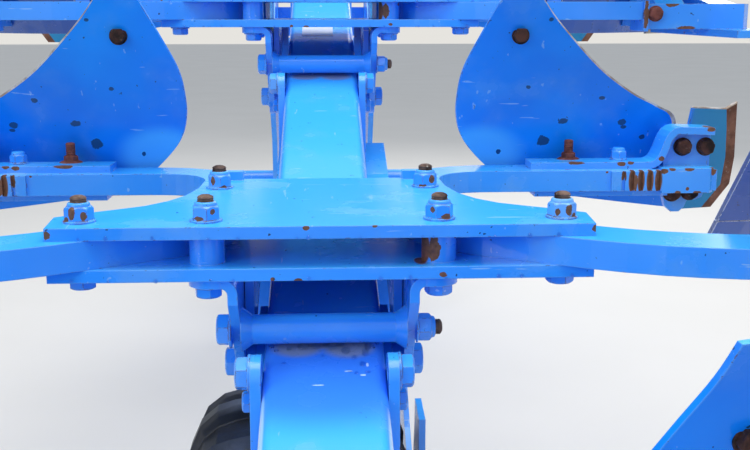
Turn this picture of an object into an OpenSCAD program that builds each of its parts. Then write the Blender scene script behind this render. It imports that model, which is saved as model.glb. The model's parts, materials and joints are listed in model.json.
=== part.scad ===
// Mounted reversible moldboard plough with four consoles, each with a left and a right body.
// It is turned to its mid position, so the bodies stand out flat to both sides of the beam.
// X is to the right, Y is forward to the tractor, Z is up, and the floor is at zero.
// Inside a console the places are X, the way forward from the plates' rear edge, and the
// height from the upper plate's top face.

/* [Frame] */
// Side of the square main beam
beam_side = 150; // [130:5:160]
// Wall of the main beam
beam_wall = 10; // [6:1:14]
// Corner radius of the main beam
beam_corner = 14; // [11:1:20]
// Rise of the main beam towards the tractor, in degrees
beam_rise = 16; // [15:0.5:17]
// Distance between two consoles along the beam
console_pitch = 1000; // [980:5:1040]
// Beam length behind the third console's rear edge, measured level
beam_rear = 1250; // [1200:10:1300]
// Place of the beam's front end ahead of the third console's rear edge, measured level
beam_front = 2450; // [2420:10:2480]
// Depth of the beam's top face below that plate, at the plate's rear edge
beam_depth = 185; // [184:1:190]
// Middle of the whole plough ahead of the third console's rear edge
origin_forward = 1042; // [1000:1:1100]

/* [Console] */
// Thickness of a leg plate
plate_t = 15; // [12:1:18]
// Space between the two leg plates, which is also the leg's thickness
plate_gap = 35; // [30:1:40]
// Length of the leg plates from their rear edge forward
plate_length = 350; // [345:5:370]
// Diameter of the large console bolts' holes
bolt_hole = 21; // [18:1:24]
// Outer diameter of the spacer tubes between the plates
spacer_d = 42; // [36:1:48]
// Thickness of the angle brackets that carry the plates
bracket_t = 12; // [10:1:14]
// Gap between a bracket's web and the plate on the beam's flank
bracket_gap = 14; // [10:1:18]
// Width of a bracket's top flange
flange_w = 60; // [50:1:70]
// Thickness of the plates on the beam's flanks
flank_t = 13; // [10:1:16]
// Diameter of the console's cross sleeve
sleeve_d = 37; // [32:1:40]
// Diameter of the cross sleeve's flared ends
sleeve_flare_d = 56; // [50:1:58]

/* [Leg] */
// Width of the leg bar
leg_w = 80; // [70:1:85]
// Furthest point of the leg behind the plates' rear edge
leg_sweep = 85; // [75:1:95]
// Reach of the furrow bottom from the middle of the beam
body_reach = 870; // [860:5:900]

/* [Plough body] */
// Height of the moldboard above the furrow bottom
board_height = 380; // [360:5:390]
// Reach of the moldboard to the furrow side
board_length = 600; // [560:5:620]
// Thickness of the moldboard, measured along the plough
board_t = 12; // [9:1:14]
// Height of the share strip
share_height = 105; // [95:1:115]
// Reach of the share's wing to the furrow side
share_length = 400; // [380:5:420]
// How far the shin leans back from the point to its top
shin_sweep = 235; // [220:5:250]
// Backward run of the share for each unit of its reach
share_slope = 1.2; // [1.15:0.01:1.25]
// Loss of that run at the moldboard's top, which turns the furrow over
board_twist = 0.3; // [0.2:0.01:0.35]
// Place of the share's point ahead of the plates' rear edge
point_forward = 430; // [420:5:440]
// Drop of the land side below the upper plate
land_drop = 82; // [80:1:90]
// Width of the shin piece and of the chisel point
shin_w = 55; // [45:1:65]
// Length of the landside behind the share
landside_length = 520; // [480:10:560]

/* [Skimmer] */
// Reach of the skimmer's cutting edge from the middle of the beam
skimmer_reach = 715; // [705:5:725]
// Height of the skimmer's board from its cutting edge
skimmer_height = 470; // [460:5:475]
// Place of the skimmer's point ahead of the plates' rear edge
skimmer_forward = 700; // [690:5:720]
// Thickness of the skimmer's board, measured along the plough
skimmer_t = 10; // [8:1:12]
// Place of the skimmer arm's straight run ahead of the plates' rear edge
arm_forward = 537; // [530:1:545]
// Width of the skimmer arm at its outer end
arm_w = 74; // [66:1:78]
// Outer end of the skimmer arm
arm_reach = 655; // [650:1:665]

/* [Headstock] */
// Height of the turning axis
turn_height = 1080; // [1070:5:1090]
// Diameter of the turning shaft
shaft_d = 120; // [110:2:130]
// Outer diameter of the shaft's housing
housing_d = 200; // [180:2:210]
// Rear end of the shaft's housing ahead of the third console's rear edge
housing_rear = 2876; // [2876:1:2890]
// Length of the shaft's housing
housing_length = 334; // [320:2:350]
// Half the clear width between the tower's side plates
tower_half_width = 180; // [176:1:190]
// Thickness of the tower's side plates
tower_t = 20; // [16:1:24]
// Height of the lower-link pins
lower_link_height = 620; // [600:5:640]
// Height of the top-link pin above the lower-link pins
mast_height = 685; // [680:5:700]
// Span between the shoulders of the lower-link pins
link_span = 965; // [950:5:980]
// Diameter of the lower-link pins
link_pin_d = 36.6; // [28:0.1:40]
// Diameter of the top-link pin hole
top_hole_d = 32; // [25:0.1:34]
// Length of a lower-link pin outside its shoulder
link_pin_length = 110; // [90:5:130]

/* [Turnover cylinder] */
// Distance from the turning axis up to the cylinder's pivot
cylinder_rise = 420; // [410:5:430]
// Radius of the crank that the cylinder turns
crank_r = 120; // [110:1:125]
// Thickness of the crank
crank_t = 25; // [20:1:28]
// Diameter of the cylinder's barrel
barrel_d = 70; // [60:1:72]
// Diameter of the cylinder's rod
rod_d = 36; // [30:1:40]
// Diameter of the cylinder's pivot pin
pivot_d = 40; // [32:1:42]

/* [Stands] */
// Side of the square stand legs
stand_side = 60; // [50:1:64]
// Distance from the middle to each stand leg
stand_offset = 262; // [255:1:275]
// Place of the stand legs ahead of the third console's rear edge
stand_forward = 3130; // [3110:5:3150]
// Side of the stand's square foot plate
foot_side = 220; // [180:5:240]
// Thickness of the foot plate
foot_t = 12; // [10:1:16]
// Length of the stand leg above its foot plate
stand_length = 640; // [600:10:660]

// Height of the stand sleeves' lower ends above the floor
sleeve_low = 400; // [390:5:410]
// Length of the stand sleeves
sleeve_length = 250; // [240:5:260]

/* [Wheel] */
// Diameter of the tyre
tyre_d = 780; // [760:5:790]
// Width of the tyre
tyre_w = 325; // [300:5:335]
// Diameter of the rim's bead seats
rim_d = 390; // [380:5:400]
// Place of the wheel's middle to the left of the beam's middle
wheel_left = 40; // [35:1:50]
// Place of the wheel's middle ahead of the third console's rear edge
wheel_forward = 300; // [280:5:320]
// Diameter of the wheel's stub axle
axle_d = 50; // [45:1:55]
// Thickness of the wheel arm's plate
wheel_arm_t = 10; // [8:1:14]
// Place of the wheel arm's pivot ahead of the third console's rear edge
arm_pivot_forward = 950; // [930:5:960]
// Drop of the wheel arm's pivot below the beam's underside
arm_pivot_drop = 91; // [85:1:100]
// Diameter of the wheel arm's pivot pin
arm_pin_d = 45; // [40:1:50]
// Gap between the tyre and the beam's underside, above the wheel's axle
beam_over_tyre = 75; // [70:1:100]
// Height of the tyre's lugs above its casing
lug_height = 20; // [14:1:24]

/* [Fits] */
// Clearance on the diameter of a pin or shaft that turns in a hole
running_gap = 1; // [0.6:0.1:1.4]
// Clearance at the face of pieces that seat on a curved sheet
seat_gap = 0.3; // [0.2:0.05:0.4]
// Clearance beside pieces that turn past each other
side_gap = 6; // [5.5:0.5:8]

/* [Hidden] */
$fn = 48;

blue = [0.10, 0.42, 0.90];
deep_blue = [0.06, 0.28, 0.72];
steel = [0.66, 0.67, 0.68];
rubber = [0.06, 0.06, 0.07];

// The console that stands at the plates' rear edge from which all forward places count
home_console = 3;
half_beam = beam_side / 2;
beam_axis_drop = beam_depth + half_beam / cos(beam_rise);
flank_outer = half_beam + flank_t;
web_inner = flank_outer + bracket_gap;
web_outer = web_inner + bracket_t;
lower_plate_base = -2 * plate_t - plate_gap;
leg_base = -plate_t - plate_gap;
flange_base = lower_plate_base - bracket_t;

// Height of the third console's upper plate above the floor, and of the beam's underside
plate_height = tyre_d + beam_over_tyre + beam_axis_drop + half_beam / cos(beam_rise)
    - wheel_forward * tan(beam_rise);
function beam_underside(y) = plate_height + beam_middle(y) - half_beam / cos(beam_rise);

// Height of the beam's middle line at a place V, in the console's own heights
function beam_middle(v) = -beam_axis_drop + v * tan(beam_rise);

// Bolts of one half of a console: X, V
bolt_outer = [288, 40];
bolt_rear = [139, 38];
bolt_front = [145, 273];

// Outline of one half of a leg plate: X, V
plate_half = [
    [320, 0], [325, 68], [284, 99], [260, 115], [228, 138],
    [203, 171], [185, 213], [174, 274], [172, plate_length]
];

// Points of a quadratic curve from a to c with its corner at b
function curve(a, b, c, n) = [
    for (i = [0:n])
        let (t = i / n)
        a * (1 - t) * (1 - t) + b * 2 * t * (1 - t) + c * t * t
];
function unit(v) = v / norm(v);
function side_of(path, i) =
    let (d = unit(path[min(i + 1, len(path) - 1)] - path[max(i - 1, 0)]))
    [-d[1], d[0]];
// Outline of a bar that follows a path and changes evenly from width w0 to width w1
function ribbon(path, w0, w1) =
    let (last = len(path) - 1)
    concat(
        [for (i = [0:last]) path[i] + side_of(path, i) * (w0 + (w1 - w0) * i / last) / 2],
        [for (i = [last:-1:0]) path[i] - side_of(path, i) * (w0 + (w1 - w0) * i / last) / 2]
    );

module both_sides() {
    children();
    mirror([1, 0, 0]) children();
}

// Puts a piece drawn in machine places, which count from the third console, into the frame
module machine() {
    translate([0, -origin_forward, 0]) children();
}

// Puts a piece drawn in console places at console k
module console(k) {
    machine()
        translate([
            0,
            console_pitch * cos(beam_rise) * (home_console - k),
            plate_height + console_pitch * sin(beam_rise) * (home_console - k)
        ])
            children();
}

// A plate drawn as Y and Z that stands across X, from x0 over a thickness t
module upright(x0, t) {
    translate([x0, 0, 0])
        rotate([90, 0, 90])
            linear_extrude(t)
                children();
}

// A plate drawn as X and Z that faces along Y, from y0 forward over a thickness t
module facing(y0, t) {
    translate([0, y0 + t, 0])
        rotate([90, 0, 0])
            linear_extrude(t)
                children();
}

// A round bar along X from x0 over a length
module bar_x(x0, y, z, d, length) {
    translate([x0, y, z])
        rotate([0, 90, 0])
            cylinder(d = d, h = length);
}

// A round bar along Y from y0 over a length
module bar_y(x, y0, z, d, length) {
    translate([x, y0, z])
        rotate([-90, 0, 0])
            cylinder(d = d, h = length);
}

// A square with round corners
module round_square(w, r) {
    square([w, w - 2 * r], center = true);
    square([w - 2 * r, w], center = true);
    for (a = [-1, 1], b = [-1, 1])
        translate([a * (w / 2 - r), b * (w / 2 - r)])
            circle(r);
}

// A closed sheet between a front grid and a back grid of points. Rows run to the furrow
// side and columns run up from the furrow bottom.
module sheet(front, back) {
    rows = len(front);
    cols = len(front[0]);
    n = rows * cols;
    function at(i, j) = i * cols + j;
    points = concat([for (row = front) each row], [for (row = back) each row]);
    faces = concat(
        [for (i = [0:rows - 2], j = [0:cols - 2], f = [
            [at(i, j), at(i + 1, j), at(i + 1, j + 1)],
            [at(i, j), at(i + 1, j + 1), at(i, j + 1)],
            [n + at(i, j), n + at(i + 1, j + 1), n + at(i + 1, j)],
            [n + at(i, j), n + at(i, j + 1), n + at(i + 1, j + 1)]
        ]) f],
        [for (i = [0:rows - 2], j = [0, cols - 1])
            let (a = (j == 0) ? at(i + 1, j) : at(i, j), b = (j == 0) ? at(i, j) : at(i + 1, j))
            each [[a, b, n + b], [a, n + b, n + a]]],
        [for (j = [0:cols - 2], i = [0, rows - 1])
            let (a = (i == 0) ? at(i, j) : at(i, j + 1), b = (i == 0) ? at(i, j + 1) : at(i, j))
            each [[a, b, n + b], [a, n + b, n + a]]]
    );
    polyhedron(points, faces);
}

// Frame

module beam_place() {
    machine()
        translate([0, 0, plate_height - beam_axis_drop])
            rotate([beam_rise, 0, 0])
                children();
}

module main_beam() {
    rear = -beam_rear / cos(beam_rise);
    length = (beam_rear + beam_front) / cos(beam_rise);
    cap_t = 8;
    color(blue)
        beam_place() {
            translate([0, rear, 0])
                rotate([-90, 0, 0])
                    difference() {
                        linear_extrude(length)
                            round_square(beam_side, beam_corner);
                        translate([0, 0, cap_t])
                            linear_extrude(length)
                                square(beam_side - 2 * beam_wall, center = true);
                    }
        }
}

// Outline of a flank plate as Y and Z, in console places
pivot_v = 160;
lug_r = 27;
function lug_top(v) = beam_middle(v) + half_beam / cos(beam_rise) + 29 - lug_r;

module flank_outline() {
    difference() {
        union() {
            polygon([
                [-40, beam_middle(-40) - 55], [-lug_r, lug_top(0)], [lug_r, lug_top(0)],
                [lug_r + 20, beam_middle(0) + 62], [pivot_v + 55, beam_middle(pivot_v) + 60],
                [pivot_v + 80, beam_middle(pivot_v) + 20], [pivot_v + 40, beam_middle(pivot_v) - 50]
            ]);
            translate([0, lug_top(0)])
                circle(lug_r);
        }
        translate([0, lug_top(0) + 4])
            circle(d = bolt_hole);
    }
}

module flank_plates_at(k) {
    console(k)
        both_sides() {
            upright(half_beam, flank_t)
                flank_outline();
            bar_x(flank_outer, pivot_v, beam_middle(pivot_v), 70, bracket_gap);
        }
}

module beam_flank_plates() {
    color(blue)
        for (k = [1:4])
            flank_plates_at(k);
}

module swing_carrier() {
    head_y = housing_rear - side_gap;
    flange_t = 30;
    z_top = plate_height - beam_depth + (beam_front + 10) * tan(beam_rise);
    z_low = z_top - beam_side / cos(beam_rise);
    outline = [
        [beam_front - 160, z_low - 45], [beam_front - 150, z_top - 50],
        [beam_front + 10, z_top + 10], [head_y - 200, turn_height + 330],
        [head_y - flange_t, turn_height + 150], [head_y - flange_t, turn_height - 150],
        [head_y - 110, turn_height - 150], [beam_front + 60, z_low - 240]
    ];
    color(blue)
        machine() {
            both_sides()
                upright(half_beam, 20)
                    polygon(outline);
            facing(head_y - flange_t, flange_t)
                translate([0, turn_height])
                    difference() {
                        square([260, 340], center = true);
                        circle(d = shaft_d);
                    }
            upright(-half_beam, beam_side)
                polygon([
                    [beam_front + 10, z_top + 10], [head_y - 200, turn_height + 330],
                    [head_y - flange_t, turn_height + 150], [head_y - flange_t, turn_height + 132],
                    [head_y - 206, turn_height + 314], [beam_front + 10, z_top - 8]
                ]);
            translate([-half_beam, head_y - 110, turn_height - 150])
                cube([beam_side, 110 - flange_t, 18]);
            bar_x(-half_beam, spindle_front[0], spindle_front[1], spindle_pin_d, beam_side);
        }
}

module turning_shaft() {
    rear = housing_rear - side_gap - 30;
    front = housing_rear + housing_length + side_gap;
    color(steel)
        machine() {
            bar_y(0, rear, turn_height, shaft_d, front + crank_t - rear);
            facing(front, crank_t)
                translate([0, turn_height])
                    difference() {
                        union() {
                            circle(d = shaft_d + 50);
                            translate([0, crank_r])
                                circle(d = 76);
                            polygon([
                                [-80, 0], [80, 0], [38, crank_r], [-38, crank_r]
                            ]);
                        }
                        translate([0, crank_r])
                            circle(d = pivot_d);
                    }
        }
}

// Threaded spindle that sets the angle between the beam and the carrier. It hangs on a pin
// between two ears under the beam and on a pin across the carrier.
spindle_pin_d = 30;
spindle_drop = 50;
spindle_v = 1700;
spindle_rear = [spindle_v, plate_height + beam_middle(spindle_v)
    - half_beam / cos(beam_rise) - spindle_drop];
spindle_front = [housing_rear - side_gap - 150, turn_height - 60];

module spindle_eye() {
    difference() {
        circle(d = 60);
        circle(d = spindle_pin_d + running_gap);
    }
}

module setting_spindle() {
    run = spindle_front - spindle_rear;
    slope = atan2(run[1], run[0]);
    span = norm(run);
    ear_top = spindle_drop - seat_gap;
    color(steel)
        machine()
            translate([0, spindle_rear[0], spindle_rear[1]]) {
                rotate([slope, 0, 0]) {
                    for (v = [0, span])
                        translate([0, v, 0])
                            upright(-14, 28)
                                spindle_eye();
                    bar_y(0, 26, 0, 38, span - 52);
                    bar_y(0, 200, 0, 62, span - 400);
                }
                bar_x(-28, 0, 0, spindle_pin_d, 56);
                both_sides()
                    upright(16, 12)
                        union() {
                            circle(d = 60);
                            polygon([
                                [-30, 0], [30, 0], [30, ear_top + 30 * tan(beam_rise)],
                                [-30, ear_top - 30 * tan(beam_rise)]
                            ]);
                        }
            }
}

// Console

// Outline of a bracket's web, as V and height
module bracket_outline() {
    difference() {
        union() {
            polygon([
                [10, lower_plate_base], [10, -97], [133, beam_middle(pivot_v) - 18],
                [pivot_v + 34, beam_middle(pivot_v) - 18], [plate_length - 25, -100],
                [plate_length - 25, lower_plate_base]
            ]);
            translate([pivot_v, beam_middle(pivot_v)])
                circle(d = 74);
        }
        translate([pivot_v, beam_middle(pivot_v)])
            circle(d = bolt_hole);
    }
}

// Plan of a bracket: a flange with round ends at its two bolts, and the web's edge
module bracket_plan() {
    end_r = flange_w / 2;
    difference() {
        union() {
            translate([web_inner, 10])
                square([bracket_t + 8, plate_length - 35]);
            for (b = [bolt_rear, bolt_front])
                translate([web_inner + flange_w - end_r, b[1]])
                    circle(r = end_r);
            translate([web_inner, bolt_rear[1]])
                square([flange_w, bolt_front[1] - bolt_rear[1]]);
        }
        for (b = [bolt_rear, bolt_front])
            translate(b)
                circle(d = bolt_hole);
    }
}

// Section of a bracket, bent from plate, as X and height
module bracket_section() {
    inner_r = 8;
    outer_r = inner_r + bracket_t;
    low = beam_middle(0) - half_beam;
    difference() {
        translate([web_inner, low])
            square([flange_w, lower_plate_base - low]);
        translate([web_outer + inner_r, low])
            square([flange_w, flange_base - low]);
        translate([web_outer, low])
            square([inner_r + 1, flange_base - inner_r - low]);
        translate([web_outer + inner_r, flange_base - inner_r])
            circle(r = inner_r);
        difference() {
            translate([web_inner, lower_plate_base - outer_r])
                square(outer_r);
            translate([web_inner + outer_r, lower_plate_base - outer_r])
                circle(r = outer_r);
        }
    }
}

module bent_bracket() {
    low = beam_middle(0) - half_beam;
    intersection() {
        facing(0, plate_length)
            bracket_section();
        union() {
            upright(web_inner - 1, bracket_t + 1)
                bracket_outline();
            translate([web_inner - 1, 0, flange_base - 8])
                cube([flange_w + 2, plate_length, bracket_t + 9]);
        }
        translate([0, 0, low])
            linear_extrude(-low)
                bracket_plan();
    }
}

module console_brackets(k) {
    sleeve_v = 60;
    sleeve_h = -142;
    flare = 14;
    color(blue)
        console(k) {
            both_sides() {
                bent_bracket();
                translate([web_inner - flare, sleeve_v, sleeve_h])
                    rotate([0, 90, 0])
                        cylinder(d1 = sleeve_d, d2 = sleeve_flare_d, h = flare);
            }
            bar_x(-web_inner + flare, sleeve_v, sleeve_h, sleeve_d, 2 * (web_inner - flare));
        }
}

module plate_outline() {
    difference() {
        polygon(concat(plate_half, [for (i = [len(plate_half) - 1:-1:0])
            [-plate_half[i][0], plate_half[i][1]]]));
        for (s = [-1, 1], b = [bolt_outer, bolt_rear, bolt_front])
            translate([s * b[0], b[1]])
                circle(d = bolt_hole);
    }
}

module leg_plates(k) {
    block = [33, 15, 13];
    color(blue)
        console(k) {
            for (base = [-plate_t, lower_plate_base])
                translate([0, 0, base])
                    linear_extrude(plate_t)
                        plate_outline();
            both_sides() {
                translate([bolt_rear[0], bolt_rear[1], leg_base])
                    difference() {
                        cylinder(d = spacer_d, h = plate_gap);
                        translate([0, 0, -1])
                            cylinder(d = bolt_hole, h = plate_gap + 2);
                    }
                translate([117, plate_length - block[1], 0])
                    cube(block);
            }
        }
}

// Leg

leg_front = 313;
leg_reach = body_reach - 238;
leg_back = -leg_sweep + leg_w / 2;
leg_path = concat(
    [[148, leg_front]],
    curve([148, 190], [148, 126], [215, 85], 6),
    curve([330, 14], [430, leg_back], [560, leg_back], 6),
    [[leg_reach, leg_back]]
);

module legs(k) {
    color(blue)
        console(k)
            both_sides()
                translate([0, 0, leg_base])
                    linear_extrude(plate_gap)
                        difference() {
                            polygon(ribbon(leg_path, leg_w, leg_w));
                            for (b = [bolt_outer, bolt_front])
                                translate(b)
                                    circle(d = bolt_hole);
                        }
}

// Plough body: u is the height above the furrow bottom, l the reach to the furrow side

function shin_back(u) = shin_sweep * (1 - pow(1 - u / board_height, 2));
function spread(u) = share_slope - board_twist * pow(max(u, 0) / board_height, 1.5);
function body_face(u, l) = point_forward - shin_back(u) - spread(u) * l;
function body_point(u, l, ahead) = [body_reach - u, body_face(u, l) + ahead, l - land_drop];

seam = 1;
// Drop of the board's upper edge below its full height
board_trim = 27;
function board_low(t) = share_height + seam + 75 * pow(max(t - 0.45, 0) / 0.55, 2);
function board_top(t) = board_height - board_trim - 40 * pow(t, 4);

// Grid of the body's face between two reaches l0 and l1 as functions of t
function board_grid(ahead) = [
    for (i = [0:9])
        let (t = i / 9, low = board_low(t), top = board_top(t))
        [for (j = [0:6])
            let (u = low + (top - low) * j / 6, tip = 22 * t * sin(180 * j / 6))
            body_point(u, shin_w + seam + (board_length - shin_w - seam) * t + tip, ahead)]
];
// Grid of a strip over the heights in list us, from reach l0 to a far edge that runs evenly
// from low_l1 at the lowest height to top_l1 at the highest
function strip_grid(us, l0, low_l1, top_l1, rows, ahead) = [
    for (i = [0:rows])
        [for (u = us)
            let (
                b = (u - us[0]) / (us[len(us) - 1] - us[0]),
                l1 = low_l1 + (top_l1 - low_l1) * b
            )
            body_point(u, l0 + (l1 - l0) * i / rows, ahead)]
];

module moldboards(k) {
    shin_top = board_height - board_trim;
    shin_us = [for (j = [0:6]) share_height + seam + (shin_top - share_height - seam) * j / 6];
    color(steel)
        console(k)
            both_sides() {
                sheet(board_grid(0), board_grid(-board_t));
                sheet(
                    strip_grid(shin_us, 0, shin_w, shin_w, 1, 0),
                    strip_grid(shin_us, 0, shin_w, shin_w, 1, -board_t)
                );
            }
}

module shares(k) {
    wing_top = share_length - 60;
    point_t = 16;
    share_us = [for (j = [0:3]) share_height * j / 3];
    point_us = concat([-16], share_us);
    color(steel)
        console(k)
            both_sides() {
                sheet(
                    strip_grid(share_us, 0, share_length, wing_top, 6, 0),
                    strip_grid(share_us, 0, share_length, wing_top, 6, -board_t)
                );
                sheet(
                    strip_grid(point_us, -4, shin_w, shin_w, 1, seat_gap + point_t),
                    strip_grid(point_us, -4, shin_w, shin_w, 1, seat_gap)
                );
            }
}

// Frog: a bar behind the leg's end, with two ribs that run forward to the back of the board
frog_top = -19;
landside_t = 14;
frog_base = landside_t - land_drop;

// Rib between the distances x0 and x1 from the beam's middle. Its front end seats on the
// board's back, and above the bar it leans on the board up to the height top.
module frog_rib(x0, x1, rear, top) {
    inset = 2;
    lean = 30;
    twist_gap = 0.4;
    us = [for (j = [0:3]) body_reach - x1 + (x1 - x0) * j / 3];
    hs = [frog_base + inset, frog_top - inset, top];
    function seat(u, h) = body_point(u, h + land_drop, -board_t - seat_gap - twist_gap);
    sheet(
        [for (h = hs) [for (u = us) seat(u, h)]],
        [for (h = hs) [for (u = us) (h == top) ? seat(u, h) - [0, lean, 0] : [body_reach - u, rear, h]]]
    );
}

module frogs(k) {
    flange_t = 10;
    rear = leg_back - leg_w / 2;
    front = leg_back + leg_w / 2;
    outer = body_reach - 36;
    color(blue)
        console(k)
            both_sides() {
                translate([0, 0, frog_base])
                    linear_extrude(frog_top - frog_base)
                        polygon([
                            [leg_reach + flange_t, rear], [outer, rear],
                            [body_reach - 12, rear + 40], [body_reach - 12, front + 40],
                            [outer - 60, front], [leg_reach + flange_t, front]
                        ]);
                translate([leg_reach, rear - 6, frog_base - 4])
                    cube([flange_t, leg_w + 12, frog_top - frog_base + 10]);
                frog_rib(leg_reach + 44, leg_reach + 104, front - 20, 42);
                frog_rib(outer - 44, outer + 16, front - 20, 12);
                translate([body_reach - 104, -landside_length + 290, -land_drop])
                    cube([102, landside_length, landside_t]);
            }
}

// Skimmer: u and l as for the plough body

function skimmer_back(u) = 70 * (1 - pow(1 - u / skimmer_height, 2));
function skimmer_face(u, l) = skimmer_forward - skimmer_back(u) - 0.4 * l;
function skimmer_point(x, h, ahead) =
    [x, skimmer_face(skimmer_reach - x, h + 110) + ahead, h];

// Edges of the skimmer's board from its root to its tail, each as X and height: the upper
// edge nearer to the beam and the lower edge nearer to the ground
board_rows = [
    // upper X, upper height, lower X, lower height
    [329, -61, 637, -110],
    [271, -9, 626, -23],
    [238, 30, 612, 59],
    [224, 68, 576, 84],
    [223, 111, 527, 107],
    [231, 155, 461, 151],
    [257, 212, 386, 221],
    [281, 260, 352, 260],
    [292, 292, 323, 296]
];

function skimmer_grid(ahead) = [
    for (r = board_rows)
        [for (j = [0:5])
            let (b = j / 5)
            skimmer_point(r[2] + (r[0] - r[2]) * b, r[3] + (r[1] - r[3]) * b, ahead)]
];

// Rows of the skimmer's share: outer X, inner X, height
share_rows = [
    [688, 640, -115], [714, 634, -70], [713, 628, -16], [694, 618, 38], [661, 614, 87]
];
function skimmer_share_grid(ahead) = [
    for (r = share_rows)
        [for (b = [0, 0.5, 1]) skimmer_point(r[0] + (r[1] - r[0]) * b, r[2], ahead)]
];

module skimmer_boards(k) {
    color(blue)
        console(k)
            both_sides() {
                difference() {
                    sheet(skimmer_grid(0), skimmer_grid(-skimmer_t));
                    bar_y(318, 400, 205, 22, 400);
                }
                sheet(skimmer_share_grid(0), skimmer_share_grid(-skimmer_t));
            }
}

arm_path = concat(
    [[150, leg_front + 1], [152, 380]],
    curve([156, 430], [165, arm_forward], [290, arm_forward], 7),
    [[arm_reach, arm_forward]]
);

// Path of the strap over the arm, as X and height, which bends up to a lug over the clamp
strap_t = 12;
strap_path = concat(
    [[345, -9], [535, -9]],
    curve([545, -9], [560, -8], [568, 14], 4),
    curve([572, 26], [579, 49], [594, 49], 4),
    [[652, 47]]
);
// Outline of the lug behind the board, as X and height, from the strap down to two lobes
lug_outline = [
    [573, 16], [584, 44], [648, 42], [648, -52], [642, -66], [630, -71], [618, -70],
    [612, -84], [604, -91], [590, -91], [580, -82], [572, -52]
];

module skimmer_arms(k) {
    rear = arm_forward - arm_w / 2;
    front = arm_forward + arm_w / 2;
    teeth_x = 477;
    clamp_x = 561;
    clamp_rise = 3;
    tooth_pitch = 14.7;
    // Seats behind the board and behind the share: inner X and width
    seats = [[586, 22], [641, 13]];
    function seat(x, h) = skimmer_face(skimmer_reach - x, h + 110) - skimmer_t - seat_gap;
    color(blue)
        console(k)
            both_sides() {
                translate([0, 0, leg_base])
                    linear_extrude(plate_gap)
                        polygon(ribbon(arm_path, 46, arm_w));
                facing(rear + 12, 52)
                    polygon(ribbon(strap_path, strap_t, strap_t));
                translate([352, rear + 12, leg_base - strap_t + 2])
                    cube([225, 52, strap_t]);
                difference() {
                    translate([teeth_x, rear - 5, leg_base + 1])
                        cube([clamp_x - teeth_x, arm_w - 6, plate_gap - 2]);
                    for (i = [0:4])
                        translate([teeth_x + 16.5 + tooth_pitch * i, rear - 6, leg_base - 2])
                            cube([6, 6, plate_gap + 4]);
                }
                translate([0, 0, leg_base - clamp_rise])
                    linear_extrude(plate_gap + 2 * clamp_rise)
                        polygon([
                            [clamp_x, rear - 7], [arm_reach - 14, rear - 7],
                            [arm_reach - 5, rear + 4], [arm_reach - 5, front], [clamp_x, front]
                        ]);
                difference() {
                    facing(rear + 30, 14)
                        polygon(lug_outline);
                    for (x = [604, 638])
                        bar_y(x, rear + 20, 20, 17, 40);
                }
                for (s = seats)
                    upright(s[0], s[1])
                        polygon([
                            [rear + 36, -50], [rear + 36, 40], [front, 40],
                            [seat(s[0], 40), 40], [seat(s[0], -64), -64], [front, -64]
                        ]);
            }
}

// Headstock

link_y = 3420;
crank_y = housing_rear + housing_length + side_gap;
eye_y = crank_y + crank_t + 8;
eye_t = 40;
pivot_z = turn_height + cylinder_rise;

module tower_outline() {
    difference() {
        polygon([
            [housing_rear + 4, turn_height - 130], [housing_rear + 4, turn_height + 130],
            [crank_y - 60, pivot_z + 50], [eye_y + eye_t + 30, pivot_z + 50],
            [link_y - 59, turn_height + 300], [link_y - 59, lower_link_height + 120],
            [link_y + 60, lower_link_height + 45], [link_y + 60, lower_link_height - 60],
            [link_y - 70, lower_link_height - 60], [stand_forward + 100, sleeve_low + 90],
            [stand_forward - 100, sleeve_low + 90], [housing_rear + 90, turn_height - 240]
        ]);
        translate([stand_forward, turn_height])
            circle(d = 150);
        translate([stand_forward + 70, turn_height + 260])
            circle(d = 110);
        translate([stand_forward + 70, turn_height - 230])
            circle(d = 90);
    }
}

top_link_z = lower_link_height + mast_height;
module headstock_tower() {
    color(blue)
        machine() {
            difference() {
                both_sides()
                    upright(tower_half_width, tower_t)
                        tower_outline();
                bar_x(-300, link_y, lower_link_height, 70, 600);
            }
        }
}

// Cross plate between the tower's sides, with the two ears that hold the top-link pin
module top_link_bar() {
    bar_t = 16;
    ear_t = 20;
    front = link_y - 59;
    color(blue)
        machine() {
            facing(front - bar_t, bar_t)
                translate([-tower_half_width, top_link_z - 60])
                    square([2 * tower_half_width, 120]);
            both_sides()
                upright(28, ear_t)
                    difference() {
                        polygon([
                            [front, top_link_z - 55], [front, top_link_z + 55],
                            [link_y, top_link_z + 45], [link_y, top_link_z - 45]
                        ]);
                        translate([link_y - 22, top_link_z])
                            circle(d = top_hole_d);
                    }
        }
}

// Two cross plates between the tower's sides, with the pin that the cylinder swings on
module cylinder_bracket() {
    pin_t = 16;
    rear = crank_y - 4 - pin_t;
    front = eye_y + eye_t + 22;
    color(blue)
        machine() {
            for (y = [rear, front])
                facing(y, pin_t)
                    translate([-tower_half_width, pivot_z - 50])
                        square([2 * tower_half_width, 100]);
            bar_y(0, rear - 8, pivot_z, pivot_d, front - rear + pin_t + 16);
        }
}

module shaft_housing() {
    web_t = 20;
    color(deep_blue)
        machine()
            difference() {
                union() {
                    bar_y(0, housing_rear, turn_height, housing_d, housing_length);
                    for (y = [housing_rear + 6, housing_rear + housing_length - web_t - 30])
                        facing(y, web_t)
                            translate([-tower_half_width, turn_height - 118])
                                square([2 * tower_half_width, 236]);
                }
                bar_y(0, housing_rear - 1, turn_height, shaft_d + running_gap, housing_length + 2);
            }
}

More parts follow.
